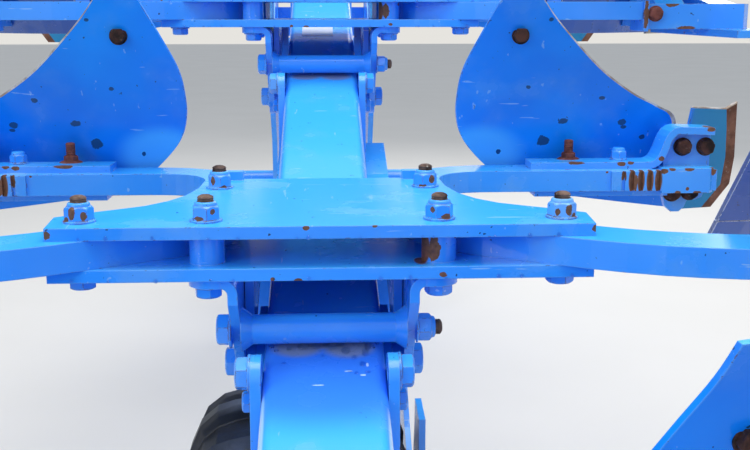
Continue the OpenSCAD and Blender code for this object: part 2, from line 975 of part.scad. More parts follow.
module link_cross_shaft() {
    bar_d = 70;
    shoulder = link_span / 2;
    color(deep_blue)
        machine() {
            bar_x(-shoulder, link_y, lower_link_height, bar_d, link_span);
            both_sides() {
                difference() {
                    bar_x(shoulder, link_y, lower_link_height, link_pin_d, link_pin_length);
                    translate([shoulder + link_pin_length - 16, link_y, lower_link_height - 40])
                        cylinder(d = 12, h = 80);
                }
                bar_x(shoulder - 14, link_y, lower_link_height, bar_d + 24, 14);
            }
        }
}

module stand_sleeves() {
    wall = 8;
    slack = 1.2;
    outer = stand_side + slack + 2 * wall;
    tower_outer = tower_half_width + tower_t;
    color(blue)
        machine()
            both_sides() {
                translate([stand_offset, stand_forward, sleeve_low])
                    linear_extrude(sleeve_length)
                        difference() {
                            square(outer, center = true);
                            square(stand_side + slack, center = true);
                        }
                translate([tower_outer, stand_forward - 90, sleeve_low + 100])
                    cube([stand_offset - outer / 2 - tower_outer, 180, 120]);
            }
}

module stand(side) {
    color(deep_blue)
        machine()
            translate([side * stand_offset, stand_forward, 0]) {
                translate([-foot_side / 2, -foot_side / 2, 0])
                    cube([foot_side, foot_side, foot_t]);
                translate([0, 0, foot_t])
                    linear_extrude(stand_length)
                        difference() {
                            square(stand_side, center = true);
                            square(stand_side - 12, center = true);
                        }
            }
}

module cylinder_barrel() {
    top = pivot_z - 46;
    foot = turn_height + crank_r + 46;
    mid_y = eye_y + eye_t / 2;
    color(deep_blue)
        machine() {
            difference() {
                union() {
                    facing(eye_y, eye_t) {
                        translate([0, pivot_z])
                            circle(d = 80);
                        translate([-30, top - 20])
                            square([60, 60]);
                    }
                    translate([0, mid_y, foot])
                        cylinder(d = barrel_d, h = top - foot);
                }
                bar_y(0, eye_y - 30, pivot_z, pivot_d + running_gap, eye_t + 60);
                translate([0, mid_y, foot - 1])
                    cylinder(d = rod_d + running_gap, h = top - foot - 20);
            }
        }
}

module cylinder_rod() {
    foot = turn_height + crank_r;
    mid_y = eye_y + eye_t / 2;
    color(steel)
        machine()
            difference() {
                union() {
                    facing(eye_y, eye_t)
                        translate([0, foot])
                            circle(d = 74);
                    translate([0, mid_y, foot + 20])
                        cylinder(d = rod_d, h = pivot_z - 46 - 30 - foot - 20);
                }
                bar_y(0, eye_y - 1, foot, pivot_d + running_gap, eye_t + 2);
            }
}

// Wheel

wheel_x = -wheel_left;
wheel_z = tyre_d / 2;
arm_x = wheel_x + tyre_w / 2 + 16;
arm_pivot_height = beam_underside(arm_pivot_forward) - arm_pivot_drop;
ear_t = 18;
ear_outer = arm_x - side_gap;

module wheel_bracket() {
    top = beam_underside(arm_pivot_forward) - seat_gap;
    rise = tan(beam_rise);
    color(blue)
        machine() {
            difference() {
                union() {
                    for (x = [-ear_outer + 40, ear_outer - ear_t])
                        upright(x, ear_t)
                            union() {
                                polygon([
                                    [arm_pivot_forward - 150, top - 150 * rise],
                                    [arm_pivot_forward + 110, top + 110 * rise],
                                    [arm_pivot_forward + 52, arm_pivot_height - 10],
                                    [arm_pivot_forward - 52, arm_pivot_height - 10]
                                ]);
                                translate([arm_pivot_forward, arm_pivot_height])
                                    circle(d = 104);
                            }
                    upright(-ear_outer + 40, 2 * ear_outer - 40)
                        polygon([
                            [arm_pivot_forward - 150, top - 150 * rise],
                            [arm_pivot_forward + 110, top + 110 * rise],
                            [arm_pivot_forward + 110, top + 110 * rise - 16],
                            [arm_pivot_forward - 150, top - 150 * rise - 16]
                        ]);
                }
                bar_x(-200, arm_pivot_forward, arm_pivot_height, arm_pin_d + running_gap, 400);
            }
        }
}

module wheel_arm() {
    pin_left = -ear_outer + 10;
    // Y and height: a swan-necked plate with a stop horn over the axle
    arm_outline = concat(
        [
            [arm_pivot_forward - 36, arm_pivot_height + 41],
            [arm_pivot_forward + 36, arm_pivot_height - 41],
            [wheel_forward + 39, wheel_z - 45], [wheel_forward - 42, wheel_z + 20],
            [wheel_forward - 35, wheel_z + 370], [wheel_forward + 35, wheel_z + 377]
        ],
        curve(
            [wheel_forward + 40, wheel_z + 330], [wheel_forward + 100, wheel_z + 80],
            [wheel_forward + 340, wheel_z + 350], 8
        )
    );
    color(blue)
        machine()
            difference() {
                union() {
                    upright(arm_x, wheel_arm_t) {
                        polygon(arm_outline);
                        translate([arm_pivot_forward, arm_pivot_height])
                            circle(d = 124);
                        translate([wheel_forward, wheel_z])
                            circle(d = 136);
                    }
                    bar_x(pin_left, arm_pivot_forward, arm_pivot_height, arm_pin_d,
                        arm_x - pin_left + wheel_arm_t);
                    bar_x(arm_x + wheel_arm_t, wheel_forward, wheel_z, axle_d + 40, 24);
                    bar_x(wheel_x - 60, wheel_forward, wheel_z, axle_d, arm_x - wheel_x + 60);
                }
            }
}

// Profile of the rim and disc as radius and width, turned about the wheel's axis
module wheel_rim() {
    r = rim_d / 2;
    half = 125;
    color(steel)
        machine()
            translate([wheel_x, wheel_forward, wheel_z])
                rotate([0, 90, 0])
                    difference() {
                        rotate_extrude($fn = 72)
                            union() {
                                polygon([
                                    [r + 22, -half], [r + 22, -half + 8], [r, -half + 12],
                                    [r, -half + 50], [r - 24, -half + 62], [r - 24, half - 62],
                                    [r, half - 50], [r, half - 12], [r + 22, half - 8],
                                    [r + 22, half], [r - 8, half], [r - 8, half - 46],
                                    [r - 32, half - 58], [r - 32, -half + 58],
                                    [r - 8, -half + 46], [r - 8, -half]
                                ]);
                                polygon([
                                    [50, 26], [90, 26], [110, 10], [r - 31, 10],
                                    [r - 31, 20], [114, 20], [94, 36], [50, 36]
                                ]);
                                polygon([
                                    [(axle_d + running_gap) / 2, -62], [52, -62], [62, -50],
                                    [62, 50], [52, 62], [(axle_d + running_gap) / 2, 62]
                                ]);
                            }
                        for (a = [0:60:300])
                            rotate(a + 30)
                                translate([128, 0, 0])
                                    cylinder(d = 34, h = 40);
                    }
}

module tyre_lug(root, outline) {
    upright(root, tyre_d / 2 + 5 - root)
        polygon(outline);
}

module tyre() {
    r = rim_d / 2 + seat_gap;
    half = tyre_w / 2;
    top = tyre_d / 2 - lug_height;
    shoulder = top - 40;
    lugs = 19;
    profile = concat(
        [[r, -half + 54], [r, -half + 78], [r + 14, -half + 82], [r + 14, half - 82]],
        [[r, half - 78], [r, half - 54], [r + 26, half - 52]],
        curve([r + 26, half - 52], [r + 60, half + 4], [shoulder - 40, half - 2], 3),
        curve([shoulder, half - 10], [top, half - 24], [top, 0], 4),
        curve([top, 0], [top, -half + 24], [shoulder, -half + 10], 4),
        curve([shoulder - 40, -half + 2], [r + 60, -half - 4], [r + 26, -half + 52], 3)
    );
    // Outline of one lug: tangential place, distance from the tread's middle
    lug = [
        [-20, -8], [16, -8], [34, 60], [52, half - 8], [50, half - 3], [12, half - 3], [-4, 60]
    ];
    color(rubber)
        machine()
            translate([wheel_x, wheel_forward, wheel_z])
                rotate([0, 90, 0])
                    union() {
                        rotate_extrude($fn = 72)
                            polygon(profile);
                        intersection() {
                            cylinder(d = tyre_d, h = tyre_w, center = true, $fn = 96);
                            for (i = [0:lugs - 1])
                                rotate(360 * i / lugs) {
                                    tyre_lug(shoulder - 12, lug);
                                    rotate(180 / lugs)
                                        mirror([0, 0, 1])
                                            tyre_lug(shoulder - 12, lug);
                                }
                        }
                    }
}

main_beam();
beam_flank_plates();
swing_carrier();
turning_shaft();
setting_spindle();
console_brackets(1);  // console_brackets_1
leg_plates(1);  // leg_plates_1
legs(1);  // legs_1
skimmer_arms(1);  // skimmer_arms_1
skimmer_boards(1);  // skimmer_boards_1
moldboards(1);  // moldboards_1
shares(1);  // shares_1
frogs(1);  // frogs_1
console_brackets(2);  // console_brackets_2
leg_plates(2);  // leg_plates_2
legs(2);  // legs_2
skimmer_arms(2);  // skimmer_arms_2
skimmer_boards(2);  // skimmer_boards_2
moldboards(2);  // moldboards_2
shares(2);  // shares_2
frogs(2);  // frogs_2
console_brackets(3);  // console_brackets_3
leg_plates(3);  // leg_plates_3
legs(3);  // legs_3
skimmer_arms(3);  // skimmer_arms_3
skimmer_boards(3);  // skimmer_boards_3
moldboards(3);  // moldboards_3
shares(3);  // shares_3
frogs(3);  // frogs_3
console_brackets(4);  // console_brackets_4
leg_plates(4);  // leg_plates_4
legs(4);  // legs_4
skimmer_arms(4);  // skimmer_arms_4
skimmer_boards(4);  // skimmer_boards_4
moldboards(4);  // moldboards_4
shares(4);  // shares_4
frogs(4);  // frogs_4
headstock_tower();
top_link_bar();
cylinder_bracket();
shaft_housing();
link_cross_shaft();
stand_sleeves();
stand(-1);  // stand_left
stand(1);  // stand_right
cylinder_barrel();
cylinder_rod();
wheel_bracket();
wheel_arm();
wheel_rim();
tyre();
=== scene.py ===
"""Looks of a mounted reversible moldboard plough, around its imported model."""
import json
import math
import random

import bmesh
import bpy
from mathutils import Euler, Matrix, Vector


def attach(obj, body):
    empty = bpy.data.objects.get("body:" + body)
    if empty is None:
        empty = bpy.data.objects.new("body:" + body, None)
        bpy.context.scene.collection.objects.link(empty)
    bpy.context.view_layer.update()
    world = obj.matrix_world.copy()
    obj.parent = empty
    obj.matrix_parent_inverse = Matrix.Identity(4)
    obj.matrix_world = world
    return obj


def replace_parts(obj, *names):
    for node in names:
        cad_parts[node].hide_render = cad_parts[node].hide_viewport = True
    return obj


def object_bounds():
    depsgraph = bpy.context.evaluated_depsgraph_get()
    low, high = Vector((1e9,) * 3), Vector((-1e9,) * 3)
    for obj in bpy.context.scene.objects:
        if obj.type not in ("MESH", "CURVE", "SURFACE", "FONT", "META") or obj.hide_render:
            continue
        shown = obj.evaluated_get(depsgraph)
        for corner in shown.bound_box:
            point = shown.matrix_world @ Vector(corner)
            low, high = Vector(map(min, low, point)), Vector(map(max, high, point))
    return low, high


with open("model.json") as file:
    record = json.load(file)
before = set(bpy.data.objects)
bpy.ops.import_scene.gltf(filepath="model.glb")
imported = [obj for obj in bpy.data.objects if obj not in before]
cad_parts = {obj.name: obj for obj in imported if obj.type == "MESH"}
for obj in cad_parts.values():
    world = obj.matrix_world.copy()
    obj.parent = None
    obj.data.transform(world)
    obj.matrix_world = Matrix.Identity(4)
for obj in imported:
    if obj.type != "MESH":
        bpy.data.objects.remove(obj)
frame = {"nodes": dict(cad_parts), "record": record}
cad_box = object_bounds()

MM = 0.001

# Driving dimensions, in millimetres, as in the plough's own drawing
ORIGIN_FORWARD = 1042
CONSOLES = (1, 2, 3, 4)
# The console that the camera stands behind
HOME_CONSOLE = 3
PLATE_HEIGHT = 1110.02
BEAM_RISE = math.radians(16)
CONSOLE_PITCH = 1000
BEAM_DEPTH = 185
BEAM_SIDE = 150
PLATE_T = 15
PLATE_GAP = 35
LOWER_FACE = -2 * PLATE_T - PLATE_GAP
BRACKET_T = 12
FLANGE_FACE = LOWER_FACE - BRACKET_T
WEB_OUTER = 114
FLANK_OUTER = 88
LAND_DROP = 82
BODY_REACH = 870
SKIMMER_REACH = 715

# Middle of the wheel: X, Y and Z of the drawing
WHEEL_PLACE = (-40, 300, 390)

# Places of a console's bolts: X, V
BOLT_OUTER = (288, 40)
BOLT_REAR = (139, 38)
BOLT_FRONT = (145, 273)


def beam_middle(v):
    """Height of the beam's middle line at a place V, in console heights"""
    return -BEAM_DEPTH - BEAM_SIDE / 2 / math.cos(BEAM_RISE) + v * math.tan(BEAM_RISE)


def beam_top(v):
    return -BEAM_DEPTH + v * math.tan(BEAM_RISE)


def at_console(k, x, v, h):
    """A place in console k, in the frame's metres"""
    steps = HOME_CONSOLE - k
    y = v - ORIGIN_FORWARD + CONSOLE_PITCH * math.cos(BEAM_RISE) * steps
    z = h + PLATE_HEIGHT + CONSOLE_PITCH * math.sin(BEAM_RISE) * steps
    return Vector((x, y, z)) * MM


def at_machine(x, y, z):
    """A place counted from the third console's rear edge and from the floor"""
    return Vector((x, y - ORIGIN_FORWARD, z)) * MM


# Camera: behind the third console, a little above its plates, turned to the beam's right
CAMERA_PLACE = (0, -1183, 1356)
CAMERA_DOWN = 11.7
CAMERA_RIGHT = 2.9
camera_data = bpy.data.cameras.new("camera")
camera_data.lens = 50
camera_data.sensor_width = 36
camera_data.clip_start = 0.05
camera = bpy.data.objects.new("camera", camera_data)
bpy.context.scene.collection.objects.link(camera)
camera.location = at_machine(*CAMERA_PLACE)
camera.rotation_euler = Euler(
    (math.radians(90 - CAMERA_DOWN), 0, math.radians(-CAMERA_RIGHT)), "XYZ")
bpy.context.scene.camera = camera


# Materials

def linear(code):
    """An sRGB hex colour as the linear colour that a socket takes"""
    parts = [int(code[i:i + 2], 16) / 255 for i in (1, 3, 5)]
    return tuple(
        p / 12.92 if p <= 0.04045 else ((p + 0.055) / 1.055) ** 2.4 for p in parts) + (1.0,)


def add(tree, kind, links=None, out=0, **settings):
    """Adds a node and returns one of its outputs. Each entry of links is a socket's name or
    number with its value, or with the output that feeds it."""
    node = tree.nodes.new(kind)
    for name, value in settings.items():
        setattr(node, name, value)
    for name, value in (links or {}).items():
        if isinstance(value, bpy.types.NodeSocket):
            tree.links.new(value, node.inputs[name])
        else:
            node.inputs[name].default_value = value
    return node.outputs[out] if len(node.outputs) else None


NOISE, RANGE, MATH = "ShaderNodeTexNoise", "ShaderNodeMapRange", "ShaderNodeMath"
VECTOR, MIX, BUMP = "ShaderNodeVectorMath", "ShaderNodeMix", "ShaderNodeBump"
SOFT_STEP = {"interpolation_type": "SMOOTHSTEP"}
TINT = {"out": 2, "data_type": "RGBA"}
# Numbers of a mix node's sockets: factor, first and second colour
FACTOR, FIRST, SECOND = 0, 6, 7


def new_material(name):
    material = bpy.data.materials.new(name)
    material.use_nodes = True
    material.node_tree.nodes.clear()
    return material, material.node_tree


def close_material(tree, links):
    """Ends a material in one Principled shader"""
    shader = add(tree, "ShaderNodeBsdfPrincipled", links)
    add(tree, "ShaderNodeOutputMaterial", {"Surface": shader})


def worn_edges(tree, radius_mm):
    """1 on sharp edges, where paint wears through first"""
    soft = add(tree, "ShaderNodeBevel", {"Radius": radius_mm * MM}, samples=6)
    sharp = add(tree, "ShaderNodeNewGeometry", out="Normal")
    facing = add(tree, VECTOR, {0: soft, 1: sharp}, "Value", operation="DOT_PRODUCT")
    return add(tree, RANGE, {0: facing, 1: 0.98, 2: 0.75}, **SOFT_STEP)


def marked(tree, place, spots):
    """1 in the middle of each spot and 0 at its rim. A spot is a place in metres and its
    half widths along X, Y and Z in millimetres."""
    total = None
    for spot, halves in spots:
        scale = tuple(1 / (h * MM) for h in halves)
        offset = tuple(-s * c for s, c in zip(scale, spot))
        away = add(tree, VECTOR, {0: place, 1: scale, 2: offset}, operation="MULTIPLY_ADD")
        length = add(tree, VECTOR, {0: away}, "Value", operation="LENGTH")
        near = add(tree, RANGE, {0: length, 1: 1.0, 2: 0.0})
        total = near if total is None else add(
            tree, MATH, {0: total, 1: near}, operation="MAXIMUM")
    return total


# 4FB4FF paints a sky reflection on the skimmer boards
RUST, GRIT_SCAR, SKY_REFLECTION_BLUE, OLD_TEAL = "rust", "#1B4C80", "#4FB4FF", "#1F86BC"
# 3888F8 paints shade on the beam under the plates, and #9FCBF2 paints a highlight on the beam's
# edges
WET_BLUE, EDGE_HIGHLIGHT_BLUE, SCUFF_BLUE, PLATE_SHADE_BLUE = "#7F93B8", "#9FCBF2", "#BFE0FF", "#3888F8"
# Where a mark starts and where it is full, for each kind of edge
MARK_EDGES = {"ragged": (0.86, 0.92), "firm": (0.05, 0.22), "soft": (0.0, 0.5)}


def enamel_film(tree, place, base, deep, top, dirt):
    """Colour of enamel with a painted sky reflection on the faces that look up, under dust, and
    where the dust lies
    """
    cloud = add(tree, NOISE, {"Vector": place, "Scale": 1000 / 260, "Detail": 3.0})
    cloud = add(tree, RANGE, {0: cloud, 1: 0.35, 2: 0.68}, **SOFT_STEP)
    colour = add(tree, MIX, {FACTOR: cloud, FIRST: linear(deep), SECOND: linear(base)}, **TINT)
    # Painted sky reflection: faces that look up mix toward the paler, more cyan top blue
    sky_reflection_on_top = add(tree, "ShaderNodeTexCoord", out="Normal")
    sky_reflection_on_top = add(tree, "ShaderNodeSeparateXYZ", {0: sky_reflection_on_top}, "Z")
    sky_reflection_on_top = add(tree, RANGE, {0: sky_reflection_on_top, 1: 0.7, 2: 0.98, 4: 0.85}, **SOFT_STEP)
    colour = add(tree, MIX, {FACTOR: sky_reflection_on_top, FIRST: colour, SECOND: linear(top)}, **TINT)
    # Dust film in veils of a hand's width
    veil = add(tree, NOISE, {"Vector": place, "Scale": 1000 / 90, "Detail": 5.0})
    veil = add(tree, RANGE, {0: veil, 1: 0.5, 2: 0.74, 4: dirt}, **SOFT_STEP)
    colour = add(tree, MIX, {FACTOR: veil, FIRST: colour, SECOND: linear("#7DB4E4")}, **TINT)
    return colour, veil


def scratched(tree, place, colour):
    """Adds hairline scratches and grit to the enamel's colour"""
    # Scratches some 60 mm long, drawn 1 mm wide so that they show
    for stretch, size, light in (((0.1, 1.0, 1.0), 9, 0.5), ((1.0, 0.12, 0.6), 11, 0.4)):
        along = add(tree, "ShaderNodeMapping", {"Vector": place, "Scale": stretch})
        line = add(tree, NOISE, {"Vector": along, "Scale": 1000 / size, "Detail": 2.0})
        line = add(tree, RANGE, {0: line, 1: 0.715, 2: 0.74, 4: light}, **SOFT_STEP)
        colour = add(tree, MIX, {FACTOR: line, FIRST: colour, SECOND: linear("#A8D4FA")}, **TINT)
    # Grit, 2 to 4 mm across
    grit = add(tree, NOISE, {"Vector": place, "Scale": 1000 / 8, "Detail": 2.0})
    grit = add(tree, RANGE, {0: grit, 1: 0.735, 2: 0.755}, **SOFT_STEP)
    return add(tree, MIX, {FACTOR: grit, FIRST: colour, SECOND: linear("#173F70")}, **TINT)


def with_marks(tree, place, marks, grain, chip, colour):
    """Adds the named marks, those of rust to the chips and the others to the colour"""
    for code, edge_kind, spots in marks:
        near = marked(tree, place, spots)
        if edge_kind == "ragged":
            near = add(tree, MATH, {0: near, 1: grain}, operation="ADD")
        low, high = MARK_EDGES[edge_kind]
        near = add(tree, RANGE, {0: near, 1: low, 2: high}, **SOFT_STEP)
        if code == RUST:
            chip = add(tree, MATH, {0: chip, 1: near}, operation="MAXIMUM")
        else:
            colour = add(tree, MIX, {FACTOR: near, FIRST: colour, SECOND: linear(code)}, **TINT)
    return chip, colour


# top is the paler blue of a painted sky reflection on the faces that look up
def blue_enamel(name, marks=(), wear=0.5, dirt=0.35, base="#3A9EFF", deep="#2E94FA",
                top="#3FB6FF", gloss=1.0):
    """Gloss blue enamel, sprayed over structural steel. It gives an even, wet-looking blue, paler
    on top as a painted sky reflection, with orange peel, hairline scratches, pale edges that are
    partly rubbed enamel and partly a painted highlight, grit, and brown chips where bolts and
    edges took knocks. Each of the marks is a colour, the kind of its edge, and its spots."""
    material, tree = new_material(name)
    place = add(tree, "ShaderNodeTexCoord", out="Object")
    colour, veil = enamel_film(tree, place, base, deep, top, dirt)
    colour = scratched(tree, place, colour)
    # Pale edges: partly enamel rubbed thin, partly a painted highlight of the light that edges
    # catch
    edge = worn_edges(tree, 3.0)
    rubbed = add(tree, MATH, {0: edge, 1: 0.45}, operation="MULTIPLY")
    colour = add(tree, MIX, {FACTOR: rubbed, FIRST: colour, SECOND: linear("#8CCBFF")}, **TINT)
    # Chips on the edges, as ragged as the grain
    grain = add(tree, NOISE, {"Vector": place, "Scale": 1000 / 14, "Detail": 5.0,
                              "Roughness": 0.7})
    chip = add(tree, RANGE, {0: grain, 1: 0.66 - 0.12 * wear, 2: 0.70 - 0.12 * wear}, **SOFT_STEP)
    knocked = add(tree, MATH, {0: edge, 1: 0.6 + wear}, operation="MULTIPLY", use_clamp=True)
    chip = add(tree, MATH, {0: chip, 1: knocked}, operation="MULTIPLY")
    chip, colour = with_marks(tree, place, marks, grain, chip, colour)
    rust = add(tree, NOISE, {"Vector": place, "Scale": 1000 / 5, "Detail": 3.0})
    rust = add(tree, MIX, {FACTOR: rust, FIRST: linear("#2B1A14"), SECOND: linear("#8F5B3C")},
               **TINT)
    colour = add(tree, MIX, {FACTOR: chip, FIRST: colour, SECOND: rust}, **TINT)
    # Gloss, duller under dust and dry in the chips
    rough = add(tree, MATH, {0: veil, 1: 0.3, 2: 0.24}, operation="MULTIPLY_ADD")
    rough = add(tree, MATH, {0: chip, 1: 0.45, 2: rough}, operation="MULTIPLY_ADD")
    # Orange peel of 3 mm, and chips that lie deeper than the paint
    peel = add(tree, NOISE, {"Vector": place, "Scale": 1000 / 3.2, "Detail": 1.0})
    peel = add(tree, MATH, {0: peel, 1: 0.12}, operation="MULTIPLY")
    height = add(tree, MATH, {0: peel, 1: chip}, operation="SUBTRACT")
    rounded = add(tree, "ShaderNodeBevel", {"Radius": 2.0 * MM}, samples=4)
    bump = add(tree, BUMP, {"Height": height, "Strength": 0.35, "Distance": 0.0006,
                            "Normal": rounded})
    close_material(tree, {"Base Color": colour, "Roughness": rough, "Normal": bump,
                          "IOR": 1.5, "Specular IOR Level": 0.5 * gloss,
                          "Coat Weight": 0.3 * gloss, "Coat Roughness": 0.12})
    return material


def rusty_steel(name, light="#8A5A3E", dark="#3A241B", shine=0.25):
    """Forged or rolled steel that rain has rusted. It gives blotched brown with a dry, sandy
    face and a few grey rubbed grains."""
    material, tree = new_material(name)
    place = add(tree, "ShaderNodeTexCoord", out="Object")
    blotch = add(tree, NOISE, {"Vector": place, "Scale": 1000 / 30, "Detail": 6.0,
                               "Roughness": 0.65})
    blotch = add(tree, RANGE, {0: blotch, 1: 0.38, 2: 0.62}, **SOFT_STEP)
    colour = add(tree, MIX, {FACTOR: blotch, FIRST: linear(dark), SECOND: linear(light)}, **TINT)
    pale = add(tree, NOISE, {"Vector": place, "Scale": 1000 / 6, "Detail": 3.0})
    pale = add(tree, RANGE, {0: pale, 1: 0.6, 2: 0.75, 4: shine}, **SOFT_STEP)
    colour = add(tree, MIX, {FACTOR: pale, FIRST: colour, SECOND: linear("#A9A39B")}, **TINT)
    rough = add(tree, MATH, {0: pale, 1: -0.8, 2: 0.85}, operation="MULTIPLY_ADD")
    sand = add(tree, NOISE, {"Vector": place, "Scale": 1000 / 3, "Detail": 4.0})
    bump = add(tree, BUMP, {"Height": sand, "Strength": 0.4, "Distance": 0.0008})
    close_material(tree, {"Base Color": colour, "Roughness": rough, "Normal": bump,
                          "Metallic": 0.35})
    return material


def painted_back(tree, place):
    """Enamel on a board's back: where it lies, where its edge is worn bare, and its blue. The
    blue is painted dark as shade, and the bare edge also takes a painted highlight.
    """
    facing = add(tree, "ShaderNodeTexCoord", out="Normal")
    facing = add(tree, "ShaderNodeSeparateXYZ", {0: facing}, "Y")
    grain = add(tree, NOISE, {"Vector": place, "Scale": 1000 / 16, "Detail": 5.0,
                              "Roughness": 0.7})
    grain = add(tree, RANGE, {0: grain, 1: 0.35, 2: 0.45}, **SOFT_STEP)
    # The worn bare edge, which is painted near white below as a highlight on the lit edge
    bare_and_highlit_edge = add(tree, MATH, {0: worn_edges(tree, 3), 1: grain}, operation="MULTIPLY")
    paint = add(tree, RANGE, {0: facing, 1: 0.05, 2: -0.05}, **SOFT_STEP)
    paint = add(tree, MATH, {0: paint, 1: bare_and_highlit_edge}, operation="SUBTRACT", use_clamp=True)
    # The back's blue is far darker than the frame's enamel: painted shade of the boards' backs,
    # which face down
    cloud = add(tree, NOISE, {"Vector": place, "Scale": 1000 / 200, "Detail": 3.0})
    blue = add(tree, MIX, {FACTOR: cloud, FIRST: linear("#0F4796"), SECOND: linear("#1C62BE")},
               **TINT)
    speck = add(tree, NOISE, {"Vector": place, "Scale": 1000 / 11, "Detail": 3.0,
                              "Roughness": 0.7})
    speck = add(tree, RANGE, {0: speck, 1: 0.66, 2: 0.69}, **SOFT_STEP)
    blue = add(tree, MIX, {FACTOR: speck, FIRST: blue, SECOND: linear("#1A3350")}, **TINT)
    return paint, bare_and_highlit_edge, blue


def scoured_steel(name, back_painted, bare="#9A9690", stain="#7A5A44"):
    """Hardened board steel that soil has ground smooth in front. It gives satin grey with
    long scour lines and tea-brown rust, and on a painted back blue enamel with a bare rim."""
    material, tree = new_material(name)
    place = add(tree, "ShaderNodeTexCoord", out="Object")
    along = add(tree, "ShaderNodeMapping", {"Vector": place, "Scale": (1.0, 0.05, 0.35)})
    scour = add(tree, NOISE, {"Vector": along, "Scale": 1000 / 5, "Detail": 3.0})
    colour = add(tree, MIX, {FACTOR: scour, FIRST: linear("#77736E"), SECOND: linear(bare)},
                 **TINT)
    bloom = add(tree, NOISE, {"Vector": place, "Scale": 1000 / 120, "Detail": 5.0,
                              "Roughness": 0.65})
    bloom = add(tree, RANGE, {0: bloom, 1: 0.46, 2: 0.66, 4: 0.75}, **SOFT_STEP)
    colour = add(tree, MIX, {FACTOR: bloom, FIRST: colour, SECOND: linear(stain)}, **TINT)
    rough = add(tree, MATH, {0: bloom, 1: 0.4, 2: 0.3}, operation="MULTIPLY_ADD")
    metal = add(tree, MATH, {0: bloom, 1: -0.7, 2: 1.0}, operation="MULTIPLY_ADD")
    if back_painted:
        paint, bare_and_highlit_edge, blue = painted_back(tree, place)
        # Bare worn rim painted near white: a painted highlight of the light the edge catches,
        # over bare steel
        colour = add(tree, MIX, {FACTOR: bare_and_highlit_edge, FIRST: colour, SECOND: linear("#E4E8EC")},
                     **TINT)
        colour = add(tree, MIX, {FACTOR: paint, FIRST: colour, SECOND: blue}, **TINT)
        rough = add(tree, MATH, {0: paint, 1: -0.1, 2: rough}, operation="MULTIPLY_ADD")
        metal = add(tree, MATH, {0: metal, 1: paint}, operation="SUBTRACT", use_clamp=True)
    bump = add(tree, BUMP, {"Height": scour, "Strength": 0.2, "Distance": 0.0005})
    close_material(tree, {"Base Color": colour, "Roughness": rough, "Metallic": metal,
                          "Normal": bump})
    return material


def tyre_rubber(name):
    """Moulded black rubber, dusted by the yard. It gives near black in the grooves, a painted
    shade, and on the lugs a dry grey that is dust and a painted highlight."""
    material, tree = new_material(name)
    place = add(tree, "ShaderNodeTexCoord", out="Object")
    dust = add(tree, NOISE, {"Vector": place, "Scale": 1000 / 45, "Detail": 5.0})
    dust = add(tree, RANGE, {0: dust, 1: 0.40, 2: 0.68, 3: 0.45, 4: 1.0}, **SOFT_STEP)
    # Yard dust thins out from the lugs' faces, 387 mm out, to the grooves, 373 mm out; this also
    # paints a highlight on the lugs and shade in the grooves
    out = add(tree, VECTOR, {0: place, 1: (0.0, 1.0, 1.0), 2: tuple(
        -c * f for c, f in zip(at_machine(*WHEEL_PLACE), (0, 1, 1)))}, operation="MULTIPLY_ADD")
    out = add(tree, VECTOR, {0: out}, "Value", operation="LENGTH")
    out = add(tree, RANGE, {0: out, 1: 373 * MM, 2: 387 * MM, 3: 0.1, 4: 0.9}, **SOFT_STEP)
    dust = add(tree, MATH, {0: dust, 1: out}, operation="MULTIPLY")
    colour = add(tree, MIX, {FACTOR: dust, FIRST: linear("#101114"), SECOND: linear("#6A7078")},
                 **TINT)
    rough = add(tree, MATH, {0: dust, 1: 0.5, 2: 0.42}, operation="MULTIPLY_ADD")
    rounded = add(tree, "ShaderNodeBevel", {"Radius": 4.0 * MM}, samples=4)
    skin = add(tree, NOISE, {"Vector": place, "Scale": 1000 / 4, "Detail": 4.0})
    bump = add(tree, BUMP, {"Height": skin, "Strength": 0.35, "Distance": 0.001,
                            "Normal": rounded})
    close_material(tree, {"Base Color": colour, "Roughness": rough, "Normal": bump,
                          "Specular IOR Level": 0.45})
    return material


def even_finish(name, light, dark, grain_mm, metallic, rough, peel):
    """An evenly painted, plated or printed face. It gives one tone with soft blotches."""
    material, tree = new_material(name)
    place = add(tree, "ShaderNodeTexCoord", out="Object")
    blotch = add(tree, NOISE, {"Vector": place, "Scale": 1000 / grain_mm, "Detail": 4.0})
    blotch = add(tree, RANGE, {0: blotch, 1: 0.35, 2: 0.7}, **SOFT_STEP)
    colour = add(tree, MIX, {FACTOR: blotch, FIRST: linear(dark), SECOND: linear(light)}, **TINT)
    dull = add(tree, NOISE, {"Vector": place, "Scale": 3000 / grain_mm, "Detail": 3.0})
    dull = add(tree, MATH, {0: dull, 1: 0.15, 2: rough}, operation="MULTIPLY_ADD")
    fine = add(tree, NOISE, {"Vector": place, "Scale": 1000 / 3, "Detail": 2.0})
    bump = add(tree, BUMP, {"Height": fine, "Strength": peel, "Distance": 0.0005})
    close_material(tree, {"Base Color": colour, "Roughness": dull, "Normal": bump,
                          "Metallic": metallic})
    return material


def water_bead(name):
    """Rain water that stands on gloss paint. It gives a clear lens with a bright rim."""
    material, tree = new_material(name)
    place = add(tree, "ShaderNodeTexCoord", out="Object")
    ripple = add(tree, NOISE, {"Vector": place, "Scale": 1000 / 6, "Detail": 1.0})
    bump = add(tree, BUMP, {"Height": ripple, "Strength": 0.1, "Distance": 0.0003})
    close_material(tree, {"Base Color": linear("#E6F2FF"), "Roughness": 0.03, "IOR": 1.33,
                          "Transmission Weight": 1.0, "Normal": bump})
    return material


